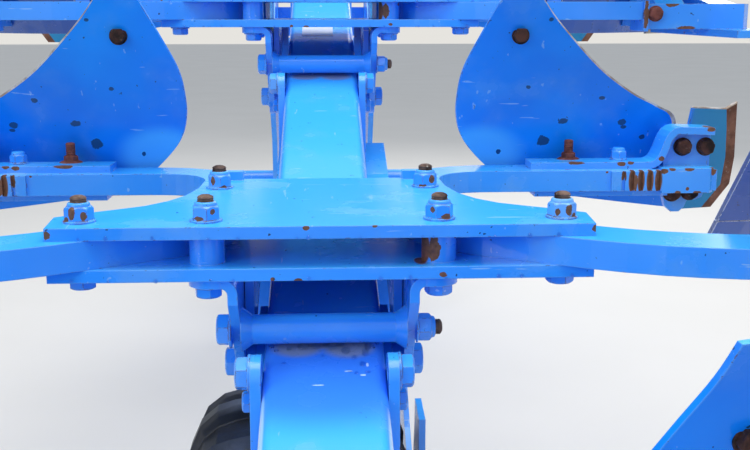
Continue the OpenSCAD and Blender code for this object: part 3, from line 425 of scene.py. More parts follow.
# Marks in console places: X, V, height, then the half widths along X, V and height, all in
# millimetres. Those of the skimmers' plates reach through the plates' whole depth.
PLATE_CHIPS = [
    (-318, 2, -8, 9, 9, 9), (322, 1, -6, 10, 8, 8), (300, 90, 0, 7, 7, 7),
    (-20, 0, -2, 6, 5, 5), (60, 0, 0, 6, 5, 5), (140, 0, -60, 7, 5, 5),
    (-30, 0, -65, 8, 5, 5), (-60, 0, -63, 5, 5, 5), (160, 28, -20, 7, 10, 6),
]
TUBE_RUST = [(116, 30, -33, 13, 30, 26)]
TUBE_SPECKS = [(131, 18, -33, 13, 14, 26)]
TEETH_RUST = [(x, 498, -32, 7, 22, 24) for x in (511, 526, 541, 555)]
TEETH_SPECKS = [(497, 494, -24, 6, 14, 24), (517, 494, -36, 6, 14, 22)]
CLAMP_CHIPS = [
    (562, 494, -16, 12, 12, 7), (578, 494, -13, 9, 12, 5), (606, 494, -13, 13, 12, 5),
    (648, 500, -16, 9, 12, 12), (588, 494, -52, 8, 10, 5), (620, 494, -52, 11, 10, 5),
    (604, 494, -46, 5, 10, 5),
]
STRAP_RUST = [
    (564, 514, 2, 8, 30, 7), (497, 512, -6, 11, 10, 6), (512, 512, -4, 9, 14, 6),
    (645, 530, 50, 16, 40, 8), (420, 515, -4, 26, 14, 5),
]
ARM_CHIPS = [(319, 500, -10, 9, 8, 4), (256, 492, -30, 5, 10, 9), (470, 500, -18, 4, 8, 3)]
BOARD_SCARS = [
    (407, 600, 61, 15, 400, 9), (513, 600, 57, 12, 400, 9), (517, 600, 48, 9, 400, 5),
    (376, 600, 26, 16, 400, 14), (554, 600, 29, 9, 400, 7), (470, 600, 100, 9, 400, 6),
    (340, 600, 120, 7, 400, 5), (300, 600, 8, 6, 400, 7), (365, 600, 230, 7, 400, 5),
]
# Painted sky reflection: a soft, paler patch low on the inner part of the skimmer boards
BOARD_SKY_REFLECTION = [(268, 600, 4, 92, 400, 62)]
NUT_CHIPS = [
    (280, 26, 9, 6, 8, 8), (294, 25, 12, 9, 8, 14), (301, 31, 4, 7, 8, 5),
    (146, 24, 5, 10, 8, 5), (130, 26, 13, 5, 8, 6), (153, 259, 11, 6, 8, 10),
    (140, 260, 3, 10, 8, 4),
]
SHARE_TEAL = [(694, 640, -10, 60, 400, 600)]


def console_marks(k, rows, sides=(-1, 1)):
    return [(at_console(k, side * x, v, h), (wide, deep, high))
            for side in sides for x, v, h, wide, deep, high in rows]


frame_paint = blue_enamel("blue_enamel_frame")
headstock_paint = blue_enamel("blue_enamel_headstock", wear=0.7)
leg_paint = blue_enamel("blue_enamel_leg", wear=0.5)
nut_paint = blue_enamel(
    "blue_enamel_nut",
    [(RUST, "ragged", [s for k in (2, 3) for s in console_marks(k, NUT_CHIPS)])],
    wear=1.6, dirt=0.6)
bolt_rust = rusty_steel("rusty_bolt_end", light="#7C6458", dark="#33221E", shine=0.7)
lug_rust = rusty_steel("dark_rusty_bolt", light="#54342B", dark="#1F1413", shine=0.2)
stud_rust = rusty_steel("red_rusty_stud", light="#8A5146", dark="#5A302A", shine=0.15)
blade_rust = rusty_steel("worn_share_blade", light="#8D6250", dark="#6A4638", shine=0.35)
bare_steel = rusty_steel("bare_worn_edge", light="#E6E0D6", dark="#B9A48F", shine=0.5)
moldboard_steel = scoured_steel("scoured_moldboard_steel", True)
share_steel = scoured_steel("scoured_share_steel", False, bare="#A09A92", stain="#6E4A34")
machined_steel = even_finish("greased_machined_steel", "#8D8A86", "#5A5048", 25, 0.8, 0.3, 0.1)
chromed_rod = even_finish("hard_chromed_rod", "#D6D8DB", "#C4C6CA", 60, 1.0, 0.08, 0.02)
rim_paint = even_finish("silver_rim_paint", "#B9BCC0", "#8C8578", 60, 0.2, 0.42, 0.2)
rubber = tyre_rubber("dusty_tyre_rubber")
label_film = even_finish("blank_label_film", "#E9EDF2", "#DDE3EA", 40, 0.0, 0.35, 0.03)
rain_water = water_bead("rain_water_bead")

# The beam behind the third console's sleeve: wet strip, painted shade on the beam under and
# behind the plates, a painted highlight along its left and right top edge, and scuffs
BEAM_WET = [(0, 74, -164, 70, 26, 12), (30, 60, -168, 40, 34, 12), (-34, 62, -168, 40, 30, 12)]
# Painted shade: a deeper blue on the beam's top under and behind the third console's plates
BEAM_SHADE_UNDER_PLATES = [(0, 20, -180, 260, 150, 90)]
# Painted highlight: pale strips along the beam's rounded top edges, where they catch the light
BEAM_EDGE_HIGHLIGHTS = [(-73, -120, -220, 5, 160, 50), (73, -160, -230, 4, 150, 50)]
BEAM_SCUFF = [(46, 4, -184, 6, 3, 3), (29, 12, -182, 8, 2, 3), (-8, -14, -189, 12, 2, 3),
              (52, 24, -178, 3, 9, 3)]
FROG_RUST = [(637, -90, -40, 9, 60, 42), (690, -85, -20, 24, 20, 8), (720, -85, -66, 30, 20, 7),
             (806, 0, -76, 60, 260, 10)]
beam_paint = blue_enamel(
    "blue_enamel_beam",
    [(PLATE_SHADE_BLUE, "soft", console_marks(HOME_CONSOLE, BEAM_SHADE_UNDER_PLATES, (1,))),
     (WET_BLUE, "soft", [s for k in CONSOLES for s in console_marks(k, BEAM_WET, (1,))]),
     (EDGE_HIGHLIGHT_BLUE, "soft", console_marks(HOME_CONSOLE, BEAM_EDGE_HIGHLIGHTS, (1,))),
     (SCUFF_BLUE, "ragged", console_marks(HOME_CONSOLE, BEAM_SCUFF, (1,)))],
    wear=0.3, dirt=0.3)


def console_finishes(k):
    """Finishes of one console's nodes, each with the marks that lie on it"""
    return {
        "legs_%d" % k: leg_paint,
        "leg_plates_%d" % k: blue_enamel(
            "blue_enamel_plates_%d" % k,
            [(RUST, "ragged", console_marks(k, PLATE_CHIPS + TUBE_SPECKS, (1,))),
             (RUST, "firm", console_marks(k, TUBE_RUST, (1,)))], wear=0.5),
        "skimmer_arms_%d" % k: blue_enamel(
            "blue_enamel_arms_%d" % k,
            [(RUST, "firm", console_marks(k, TEETH_RUST)),
             (RUST, "ragged", console_marks(
                 k, TEETH_SPECKS + CLAMP_CHIPS + STRAP_RUST + ARM_CHIPS))], wear=0.8),
        "skimmer_boards_%d" % k: blue_enamel(
            "blue_enamel_skimmer_board_%d" % k,
            [(SKY_REFLECTION_BLUE, "soft", console_marks(k, BOARD_SKY_REFLECTION)),
             (OLD_TEAL, "firm", console_marks(k, SHARE_TEAL)),
             (GRIT_SCAR, "ragged", console_marks(k, BOARD_SCARS))],
            wear=0.9, dirt=0.2, base="#1094FF", deep="#0C7DF0", gloss=0.35),
        "frogs_%d" % k: blue_enamel(
            "blue_enamel_frog_%d" % k, [(RUST, "ragged", console_marks(k, FROG_RUST))],
            wear=1.0),
    }


SLOT_FINISH = {
    "blue_paint": frame_paint, "rim_paint": rim_paint, "moldboard_steel": moldboard_steel,
    "share_steel": share_steel, "rusty_iron": frame_paint, "machined_steel": machined_steel,
    "chromed_rod": chromed_rod, "tyre": rubber,
}
HEADSTOCK_NODES = ("headstock_tower", "top_link_bar", "cylinder_bracket", "shaft_housing",
                   "link_cross_shaft", "stand_sleeves", "stand_left", "stand_right",
                   "cylinder_barrel")
NODE_FINISH = {name: headstock_paint for name in HEADSTOCK_NODES}
NODE_FINISH["main_beam"] = beam_paint
for k in CONSOLES:
    NODE_FINISH.update(console_finishes(k))

slot_of = {s["node"]: s["material_slot"] for s in frame["record"]["subparts"]}
for name, node in frame["nodes"].items():
    finish = NODE_FINISH.get(name, SLOT_FINISH[slot_of[name]])
    node.data.materials.clear()
    node.data.materials.append(finish)


# Shapes

class Shape:
    """Collects the faces of one piece, each with the number of its material"""

    def __init__(self):
        self.points, self.faces, self.finish = [], [], []

    def stack(self, rings, finish=0, place=None):
        """Joins closed rings of equal count, one above the other, between two end faces"""
        start = len(self.points)
        count = len(rings[0])
        for ring in rings:
            self.points += [place @ Vector(p) if place else Vector(p) for p in ring]
        for i in range(len(rings) - 1):
            for j in range(count):
                a = start + i * count + j
                b = start + i * count + (j + 1) % count
                self.add_face((a, b, b + count, a + count), finish)
        last = start + (len(rings) - 1) * count
        self.add_face(tuple(start + j for j in reversed(range(count))), finish)
        self.add_face(tuple(last + j for j in range(count)), finish)

    def add_face(self, corners, finish):
        self.faces.append(corners)
        self.finish.append(finish)

    def build(self, name, body, materials):
        mesh = bpy.data.meshes.new(name)
        mesh.from_pydata([tuple(p) for p in self.points], [], self.faces)
        for material in materials:
            mesh.materials.append(material)
        for polygon, finish in zip(mesh.polygons, self.finish):
            polygon.material_index = finish
        mesh.validate()
        outward = bmesh.new()
        outward.from_mesh(mesh)
        bmesh.ops.recalc_face_normals(outward, faces=outward.faces)
        outward.to_mesh(mesh)
        outward.free()
        piece = bpy.data.objects.new(name, mesh)
        bpy.context.scene.collection.objects.link(piece)
        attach(piece, body)
        return piece


def facing_along(origin, axis, turn=0.0):
    """Places a shape drawn up its own Z so that it points along axis at origin"""
    rotation = Vector(axis).to_track_quat("Z", "Y").to_matrix().to_4x4()
    return Matrix.Translation(origin) @ rotation @ Matrix.Rotation(turn, 4, "Z")


ROUND_STEPS = 36
BEAD_STEPS = 7
# Turns of thread that show past a nut
THREAD_TURNS = 3


def hex_radius(angle, flats):
    third = math.pi / 3
    return flats / 2 / math.cos((angle % third) - third / 2)


def round_ring(radius, height, flats=None, steps=ROUND_STEPS, squash=1.0):
    """A ring of a turned or hexagonal section. With flats, radius cuts the corners off."""
    ring = []
    for i in range(steps):
        angle = 2 * math.pi * i / steps
        r = min(radius, hex_radius(angle, flats)) if flats else radius
        ring.append((r * math.cos(angle) * MM, r * squash * math.sin(angle) * MM, height * MM))
    return ring


def lock_nut(shape, place, flats, end=8.0):
    """Hexagon lock nut on a washer, with a domed collar, and the bolt's thread end over it"""
    corner = flats * 0.577
    high = flats * 0.62
    shape.stack([round_ring(flats * 0.64, 0), round_ring(flats * 0.64, 2.0),
                 round_ring(flats * 0.62, 2.4)], 0, place)
    shape.stack([
        round_ring(corner, 2.4, flats), round_ring(corner, high - 3, flats),
        round_ring(corner * 0.96, high - 1.2, flats), round_ring(flats * 0.495, high, flats),
        round_ring(flats * 0.46, high + 0.8), round_ring(flats * 0.45, high + 2.6),
        round_ring(flats * 0.42, high + 4.4), round_ring(flats * 0.37, high + 5.2),
        round_ring(flats * 0.33, high + 5.2)], 0, place)
    if not end:
        return
    thread = []
    radius = flats * 0.33
    for i in range(THREAD_TURNS):
        base = high + 4.6 + i * end / 4
        thread += [round_ring(radius - 1.0, base), round_ring(radius, base + end / 8)]
    thread += [round_ring(radius - 1.2, high + 4.6 + end * 0.85),
               round_ring(radius * 0.55, high + 5 + end)]
    shape.stack(thread, 1, place)


def bolt_head(shape, place, flats, finish=0):
    """Hexagon bolt head with a chamfered top, on a washer"""
    corner = flats * 0.577
    high = flats * 0.42
    shape.stack([round_ring(flats * 0.64, 0), round_ring(flats * 0.64, 2.6),
                 round_ring(flats * 0.60, 3.2)], finish, place)
    shape.stack([
        round_ring(corner, 3.2, flats), round_ring(corner, high, flats),
        round_ring(corner * 0.95, high + 1.6, flats), round_ring(flats * 0.47, high + 3, flats),
        round_ring(flats * 0.44, high + 3.3)], finish, place)


def sheet(shape, front, back, finish_of):
    """Closes two grids of places, rows by columns, into one plate. finish_of gives the
    material's number for the face at a row and a column, and its ends take their
    neighbour's."""
    rows, columns = len(front), len(front[0])
    start = len(shape.points)
    for grid in (front, back):
        for row in grid:
            shape.points += [Vector(p) for p in row]

    def at(side, i, j):
        return start + (side * rows + i) * columns + j

    for i in range(rows - 1):
        for j in range(columns - 1):
            number = finish_of(i, j)
            shape.add_face((at(0, i, j), at(0, i, j + 1), at(0, i + 1, j + 1),
                            at(0, i + 1, j)), number)
            shape.add_face((at(1, i, j), at(1, i + 1, j), at(1, i + 1, j + 1),
                            at(1, i, j + 1)), number)
        for j in (0, columns - 1):
            a, b = (i, i + 1) if j == 0 else (i + 1, i)
            shape.add_face((at(0, a, j), at(0, b, j), at(1, b, j), at(1, a, j)),
                           finish_of(i, min(j, columns - 2)))
    for i in (0, rows - 1):
        for j in range(columns - 1):
            a, b = (j + 1, j) if i == 0 else (j, j + 1)
            shape.add_face((at(0, i, a), at(0, i, b), at(1, i, b), at(1, i, a)),
                           finish_of(i, j))


def plough_bolt(shape, place, diameter):
    """Countersunk plough bolt that stands a little proud, with a dished face"""
    r = diameter / 2
    shape.stack([round_ring(r, -1.5), round_ring(r, 1.0), round_ring(r - 1.2, 1.8),
                 round_ring(r - 4, 1.8), round_ring(r - 6, 0.9)], 0, place)


def upright_stud(shape, place):
    """Rusty stud that stands up from a broad cone washer and a nut"""
    shape.stack([round_ring(34, 0, squash=0.7), round_ring(33, 4, squash=0.7),
                 round_ring(21, 11, squash=0.8), round_ring(17, 12)], 0, place)
    shape.stack([round_ring(16, 11, 28), round_ring(16, 21, 28), round_ring(13.5, 23)],
                0, place)
    rings = []
    for i in range(7):
        rings += [round_ring(9.4, 22 + i * 4), round_ring(10.4, 24 + i * 4)]
    shape.stack(rings + [round_ring(8.6, 51), round_ring(5, 52)], 0, place)


def bead(shape, place, wide, high, long=1.0):
    """A standing drop of water"""
    rings = []
    for i in range(BEAD_STEPS):
        angle = math.pi / 2 * i / BEAD_STEPS
        rings.append(round_ring(wide * math.cos(angle), high * math.sin(angle), None, 20, long))
    shape.stack(rings, 0, place)


# Bolts and nuts of the consoles

UP, DOWN, BACK, FRONT = (0, 0, 1), (0, 0, -1), (0, -1, 0), (0, 1, 0)
LEFT, RIGHT = (-1, 0, 0), (1, 0, 0)
SIDES = (-1, 1)
# Widths across the flats of the hexagons
M24, M20, M16, M14 = 36, 30, 24, 22

# Place along V of the bracket's pivot bolt
PIVOT_V = 160
# Bolts of the flank plate: V, height over the beam's middle line at V = 0, flats, turn
FLANK_BOLTS = [(0, 85, M24, 0.5), (30, 38, M16, 0.1)]
# Through bolt of the cross sleeve: V, height
SLEEVE_BOLT = (60, -142)
# Nut behind the skimmer arm's teeth, over the strap
TOOTH_NUT = (500, 545, -3)


def on_side(k, side, place):
    """A place in console k, on its right side, or mirrored to its left one"""
    x, v, h = place
    return at_console(k, side * x, v, h)


def console_bolts(k):
    """Lock nuts over the plates, and the heads of all the bolts of a console"""
    spin = random.Random(10 + k)
    nuts = Shape()
    for side in SIDES:
        outward = (side, 0, 0)
        for x, v in (BOLT_OUTER, BOLT_REAR, BOLT_FRONT):
            top = facing_along(on_side(k, side, (x, v, 0)), UP, spin.uniform(0, 1))
            lock_nut(nuts, top, M20)
            under = LOWER_FACE if (x, v) == BOLT_OUTER else FLANGE_FACE
            bolt_head(nuts, facing_along(on_side(k, side, (x, v, under)), DOWN, 0.3), M20)
        pivot = (WEB_OUTER, PIVOT_V, beam_middle(PIVOT_V))
        bolt_head(nuts, facing_along(on_side(k, side, pivot), outward, 0.2), M24)
        for v, over, flats, turn in FLANK_BOLTS:
            place = (FLANK_OUTER, v, beam_middle(0) + over)
            bolt_head(nuts, facing_along(on_side(k, side, place), outward, turn), flats)
        lock_nut(nuts, facing_along(on_side(k, side, TOOTH_NUT), UP, 0.4), M16, 0)
    left, right = (at_console(k, side * WEB_OUTER, *SLEEVE_BOLT) for side in SIDES)
    bolt_head(nuts, facing_along(left, LEFT, 0.4), M24)
    lock_nut(nuts, facing_along(right, RIGHT, 0.1), M20, 9)
    nuts.build("console_bolts_%d" % k, "plough_frame", [nut_paint, bolt_rust])


# Dark bolts of the skimmer's lug, over and under its arm: X, V, height, turn
LUG_BOLTS = [
    (604, 530, 20, 0.3), (643, 530, 20, 0.3), (590, 530, -58, 0.6), (620, 530, -56, 0.6),
]
# Hole of the skimmer's board: X, height, and V of the bolt's two heads
BOARD_HOLE = (318, 205)
BOARD_HOLE_FACES = ((BACK, 495), (FRONT, 507))
STRAP_STUD = (417, 556, -9)
STUD_SIZE = 0.75
# Bolt that holds the frog to the leg's end flange
FROG_BOLT = (656, -85, -38)


def skimmer_bolts(k):
    """Rusty studs and bolts of the skimmer arms, and the bolts of the frogs"""
    studs = Shape()
    for side in SIDES:
        for *place, turn in LUG_BOLTS:
            bolt_head(studs, facing_along(on_side(k, side, place), BACK, turn), M16, 1)
        x, h = BOARD_HOLE
        for axis, v in BOARD_HOLE_FACES:
            bolt_head(studs, facing_along(on_side(k, side, (x, v, h)), axis), M14, 1)
        upright_stud(studs, facing_along(on_side(k, side, STRAP_STUD), UP)
                     @ Matrix.Scale(STUD_SIZE, 4))
        bolt_head(studs, facing_along(on_side(k, side, FROG_BOLT), BACK, 0.3), M16)
    studs.build("skimmer_bolts_%d" % k, "plough_frame", [stud_rust, lug_rust])


# Skimmers: a board and a share of curved plate, with a worn blade along the share's edge

SKIMMER_T = 10
SKIMMER_HEIGHT = 470
# V of the face at the share's edge, how far the board is dished, and its lean for each
# millimetre over the lowest edge
SKIMMER_FACE = 700
SKIMMER_DISH = 70
SKIMMER_LEAN = 0.4
SKIMMER_LOW = -110
# Edges of the board from its root to its tail: inner X and height, outer X and height
BOARD_ROWS = [
    (329, -61, 637, -110), (271, -9, 626, -23), (238, 30, 612, 59), (224, 68, 576, 84),
    (223, 111, 527, 107), (231, 155, 461, 151), (257, 212, 386, 221), (281, 260, 352, 260),
    (292, 292, 323, 296),
]
# Columns across the board from its outer edge, the first two for its worn rim
BOARD_COLUMNS = [0, 0.02] + [j / 12 for j in range(1, 13)]
# Share: height, inner X, X where the blade starts, outer X
SHARE_ROWS = [
    (-115, 652, 702, 722), (-70, 636, 732, 751), (-16, 634, 729, 748), (38, 640, 718, 737),
    (80, 641, 710, 729), (86, 641, 709, 728), (89, 641, 709, 728),
]
# How far the share's top edge lies lower at those three X, and the heights that the dip spans
SHARE_DIP = (-8, -13, -2)
DIP_FROM, DIP_FULL = 38, 89
# Numbers of the plates' materials
PAINT, BLADE, BARE = 0, 1, 2


def skimmer_place(k, side, x, h, back):
    """A place on a skimmer's plate, or behind its face"""
    u = SKIMMER_REACH - x
    dished = SKIMMER_DISH * (1 - (1 - u / SKIMMER_HEIGHT) ** 2)
    face = SKIMMER_FACE - dished - SKIMMER_LEAN * (h - SKIMMER_LOW)
    return at_console(k, side * x, face - back, h)


def smooth_rows(rows, steps):
    """Rows between those of a table, on one smooth curve through them"""
    result = []
    for i in range(len(rows) - 1):
        before, here = rows[max(i - 1, 0)], rows[i]
        there, after = rows[i + 1], rows[min(i + 2, len(rows) - 1)]
        for n in range(steps):
            t = n / steps
            result.append(tuple(
                0.5 * (2 * b + (c - a) * t + (2 * a - 5 * b + 4 * c - d) * t ** 2
                       + (3 * b - a - 3 * c + d) * t ** 3)
                for a, b, c, d in zip(before, here, there, after)))
    return result + [rows[-1]]


def skimmer_board(k, side, back):
    """Rows of places on a skimmer's board"""
    return [[skimmer_place(k, side, outer_x + (inner_x - outer_x) * t,
                           outer_h + (inner_h - outer_h) * t, back) for t in BOARD_COLUMNS]
            for inner_x, inner_h, outer_x, outer_h in smooth_rows(BOARD_ROWS, 5)]


def skimmer_share(k, side, back):
    """Rows of places on a skimmer's share, with its top edge dipped"""
    rows = []
    for h, *row in SHARE_ROWS:
        dipped = max(0, (h - DIP_FROM) / (DIP_FULL - DIP_FROM))
        rows.append([skimmer_place(k, side, x, h + dip * dipped, back)
                     for x, dip in zip(row, SHARE_DIP)])
    return rows


def skimmer_plates(k):
    """Painted boards with a bare rim, and shares with a worn blade and a bare top"""
    plates = Shape()
    share_end = len(SHARE_ROWS) - 2
    for side in SIDES:
        front, back = (skimmer_board(k, side, depth) for depth in (0, SKIMMER_T))
        sheet(plates, front, back, lambda i, j: BARE if j == 0 else PAINT)
        front, back = (skimmer_share(k, side, depth) for depth in (0, SKIMMER_T))
        sheet(plates, front, back, lambda i, j: BARE if i >= share_end else (PAINT, BLADE)[j])
    skimmer = plates.build("skimmer_plates_%d" % k, "plough_frame",
                           [NODE_FINISH["skimmer_boards_%d" % k], blade_rust, bare_steel])
    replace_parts(skimmer, "skimmer_boards_%d" % k)


# Rib between the flank plate and the bracket, up to the lower leg plate: V and height of its
# corners, and X of its layers
RIB_CORNERS = [(112, -66), (112, -166), (160, -164), (322, -104), (322, -66)]
RIB_LAYERS = (89.5, 90.5, 100, 101)
# Closing plate from the rib to the beam: X and height of its corners, and V of its layers
CLOSING_CORNERS = [(76, -68), (76, -222), (101, -222), (101, -68)]
CLOSING_LAYERS = (323, 324, 329, 330)


def console_ribs(k):
    """Ribs and closing plates beside the brackets of a console"""
    ribs = Shape()
    for side in SIDES:
        ribs.stack([[on_side(k, side, (x, v, h)) for v, h in RIB_CORNERS] for x in RIB_LAYERS])
        ribs.stack([[on_side(k, side, (x, v, h)) for x, h in CLOSING_CORNERS]
                    for v in CLOSING_LAYERS])
    ribs.build("console_ribs_%d" % k, "plough_frame", [frame_paint])


# Bolts of the boards and shares, countersunk into their faces

BOARD_HEIGHT = 380
SHIN_SWEEP = 235
SHARE_SLOPE = 1.2
BOARD_TWIST = 0.3
POINT_FORWARD = 430
PLOUGH_BOLT = 24
# Bolts on one body's face: u, l
BOARD_BOLTS = [(135, 90), (135, 160), (230, 84), (310, 84), (190, 210), (250, 30), (320, 30),
               (60, 95), (60, 150), (60, 300)]


def body_place(u, l):
    """A place on the body's face: u up from the furrow bottom, l towards the furrow side"""
    shin_back = SHIN_SWEEP * (1 - (1 - u / BOARD_HEIGHT) ** 2)
    spread = SHARE_SLOPE - BOARD_TWIST * (max(u, 0) / BOARD_HEIGHT) ** 1.5
    return BODY_REACH - u, POINT_FORWARD - shin_back - spread * l, l - LAND_DROP


def body_normal(u, l):
    """Direction out of the body's face, from two short steps on it"""
    step = 5
    here = Vector(body_place(u, l))
    along = Vector(body_place(u, l + step)) - here
    up = Vector(body_place(u + step, l)) - here
    normal = along.cross(up).normalized()
    return normal if normal.y > 0 else -normal


def board_bolts(k):
    """Plough bolts in the main boards and shares of a console"""
    plugs = Shape()
    for side in SIDES:
        for u, l in BOARD_BOLTS:
            normal = body_normal(u, l)
            axis = (side * normal.x, normal.y, normal.z)
            plough_bolt(plugs, facing_along(on_side(k, side, body_place(u, l)), axis),
                        PLOUGH_BOLT)
    plugs.build("board_bolts_%d" % k, "plough_frame", [share_steel])


# Blank label on the beam, ahead of the second console's sleeve

LABEL_T = 0.6
LABEL_LIFT = 0.1
LABEL_X = -9
# Fields of the label: V of the rear and front end, half the width
LABEL_FIELDS = ((1290, 1366, 36), (1570, 1640, 30))


def beam_label():
    label = Shape()
    for rear, front, half in LABEL_FIELDS:
        left, right = LABEL_X - half, LABEL_X + half
        corners = [(left, rear), (right, rear), (right, front), (left, front)]
        label.stack([[at_console(HOME_CONSOLE, x, v, beam_top(v) + lift) for x, v in corners]
                     for lift in (LABEL_LIFT, LABEL_T)])
    label.build("beam_label", "plough_frame", [label_film])


# Rain drops: on the beam below the third console's sleeve, and along the plates' edges

SLOPE_UP = (0, -math.sin(BEAM_RISE), math.cos(BEAM_RISE))
# Drops on the beam: X, V, half width, height, length to width
BEAM_DROPS = [
    (-26, 64, 8, 3.4, 0.9), (-11, 63, 6, 3, 0.9), (2, 68, 5, 2, 1.3), (10, 60, 6, 2, 0.7),
    (20, 66, 6, 2, 0.8), (26, 54, 6, 2, 1.2), (-66, 66, 4, 1.6, 1.2), (-60, 56, 3, 1.5, 1),
    (-44, 60, 3, 1.4, 1.6), (50, 50, 4, 1.8, 2.2), (54, 62, 4, 1.6, 2.0), (36, 40, 3, 1.4, 1.4),
    (46, 26, 4, 1.6, 1.2), (30, 12, 3, 1.3, 0.7), (52, 10, 3.4, 1.5, 0.7), (60, 60, 3, 1.5, 1),
    (-50, 30, 2.4, 1.2, 1), (66, 70, 3, 1.4, 1), (-2, 44, 2.4, 1.2, 1), (38, 8, 3, 1.4, 1),
]
# Rear edges of the two leg plates: height and half the length
PLATE_EDGES = ((-PLATE_T, 315), (LOWER_FACE, 312))
EDGE_DROPS = 13
EDGE_DROP_HEIGHT = 1.6
EDGE_DROP_STRETCH = 1.2
# Place along V of the drops' feet, just off the rear edges
DROP_FOOT = -0.4


def rain_drops():
    rain = Shape()
    for x, v, wide, high, long in BEAM_DROPS:
        foot = at_console(HOME_CONSOLE, x, v, beam_top(v))
        bead(rain, facing_along(foot, SLOPE_UP), wide, high, long)
    scatter = random.Random(4)
    for k in (2, 3):
        for height, span in PLATE_EDGES:
            for i in range(EDGE_DROPS):
                x = -span + (i + scatter.uniform(0.1, 0.9)) * 2 * span / EDGE_DROPS
                foot = at_console(k, x, DROP_FOOT, height + scatter.uniform(1, 3))
                bead(rain, facing_along(foot, BACK), scatter.uniform(1.2, 2.4),
                     EDGE_DROP_HEIGHT, EDGE_DROP_STRETCH)
    rain.build("rain_drops", "plough_frame", [rain_water])


# Tyre, with chevron lugs on a rounded casing

# Half of the casing's profile: distance from the tread's middle, radius
CASING = [(0, 370), (45, 369.5), (90, 366), (118, 359), (138, 346), (149, 328), (155, 305),
          (156, 280), (151, 256), (140, 235), (124, 219), (112, 206), (108.5, 195.6),
          (85, 195.6), (80, 208), (0, 209)]
CASING_STEPS = 96
LUGS_A_SIDE = 19
LUG_STATIONS = 9
# Where a lug starts and ends along the profile, and how far its end lags behind its start
LUG_START, LUG_END, LUG_LAG = -9, 193, 46
# Half a lug's width at its start, and what it gains to its end
LUG_HALF, LUG_FLARE = 16, 7
# A lug's height, where it starts to fade, and how much it loses to its end
LUG_HEIGHT, FADE_START, LUG_FADE = 19.5, 120, 13
# A lug's foot beside and under its flank, and its chamfer along and down
FOOT_OUT, FOOT_DOWN, CHAMFER_IN, CHAMFER_DOWN = 5, 3, 5, 6
LARGEST_RADIUS = 389.5


def on_wheel(w, r, angle):
    """A place on the wheel: w to the right of its middle plane, at a radius and an angle"""
    return at_machine(WHEEL_PLACE[0] + w, WHEEL_PLACE[1] + r * math.cos(angle),
                      WHEEL_PLACE[2] + r * math.sin(angle))


def casing_place(run):
    """Place and outward direction at a length run along the profile from the tread's middle"""
    for (w0, r0), (w1, r1) in zip(CASING, CASING[1:]):
        step = math.hypot(w1 - w0, r1 - r0)
        if run <= step:
            t = run / step
            return (w0 + (w1 - w0) * t, r0 + (r1 - r0) * t,
                    -(r1 - r0) / step, (w1 - w0) / step)
        run -= step


def tyre_casing(tyre):
    profile = CASING + [(-w, r) for w, r in reversed(CASING[1:-1])]
    count = len(profile)
    for i in range(CASING_STEPS):
        tyre.points += [on_wheel(w, r, 2 * math.pi * i / CASING_STEPS) for w, r in profile]
    for i in range(CASING_STEPS):
        for j in range(count):
            a, b = i * count + j, i * count + (j + 1) % count
            shift = ((i + 1) % CASING_STEPS - i) * count
            tyre.add_face((a, b, b + shift, a + shift), 0)


def tyre_lug(tyre, side, angle):
    """One lug from the tread's middle over the shoulder, starting at an angle of the wheel"""
    rings = []
    for n in range(LUG_STATIONS):
        share = n / (LUG_STATIONS - 1)
        run = LUG_START + (LUG_END - LUG_START) * share
        w, r, nw, nr = casing_place(run)
        lag = LUG_LAG * share ** 1.3
        half = LUG_HALF + LUG_FLARE * share
        high = LUG_HEIGHT
        if run >= FADE_START:
            high -= LUG_FADE * (run - FADE_START) / (LUG_END - FADE_START)
        if n in (0, LUG_STATIONS - 1):
            half, high = half * 0.8, high * 0.5
        section = ((-half - FOOT_OUT, -FOOT_DOWN), (-half, high - CHAMFER_DOWN),
                   (-half + CHAMFER_IN, high), (half - CHAMFER_IN, high),
                   (half, high - CHAMFER_DOWN), (half + FOOT_OUT, -FOOT_DOWN))
        ring = []
        for across, up in section:
            radius = min(r + nr * up, LARGEST_RADIUS)
            ring.append(on_wheel(side * (w + nw * up), radius, angle + (lag + across) / radius))
        rings.append(ring if side > 0 else ring[::-1])
    tyre.stack(rings)


def depth_wheel_tyre():
    tyre = Shape()
    tyre_casing(tyre)
    for i in range(2 * LUGS_A_SIDE):
        tyre_lug(tyre, 1 if i % 2 == 0 else -1, math.pi * i / LUGS_A_SIDE)
    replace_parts(tyre.build("tyre_casing_and_lugs", "wheel", [rubber]), "tyre")


# Fasteners of the wheel

WHEEL_BOLTS = 6
BOLT_CIRCLE = 74
# The disc's two faces and the hub's end, counted to the right of the wheel's middle
DISC_RIGHT, DISC_LEFT, HUB_END = 36, 26, -62
# Rings of the hub's cap: radius, height
HUB_CAP = [(46, 0), (46, 8), (43, 18), (34, 26), (18, 30), (6, 31)]

TYRE_WIDTH = 325
# How far the wheel's arm stands off the tyre's side
ARM_GAP = 16
ARM_T = 10
AXLE_BOSS = 24
ARM_OUTER = WHEEL_PLACE[0] + TYRE_WIDTH / 2 + ARM_GAP + ARM_T
ARM_PIVOT = (ARM_OUTER, 950, 950.4)
AXLE_END = (ARM_OUTER + AXLE_BOSS, *WHEEL_PLACE[1:])


def turned(shape, rings, place, steps=ROUND_STEPS):
    """A turned part from the radius and height of its rings"""
    shape.stack([round_ring(radius, height, None, steps) for radius, height in rings], 0, place)


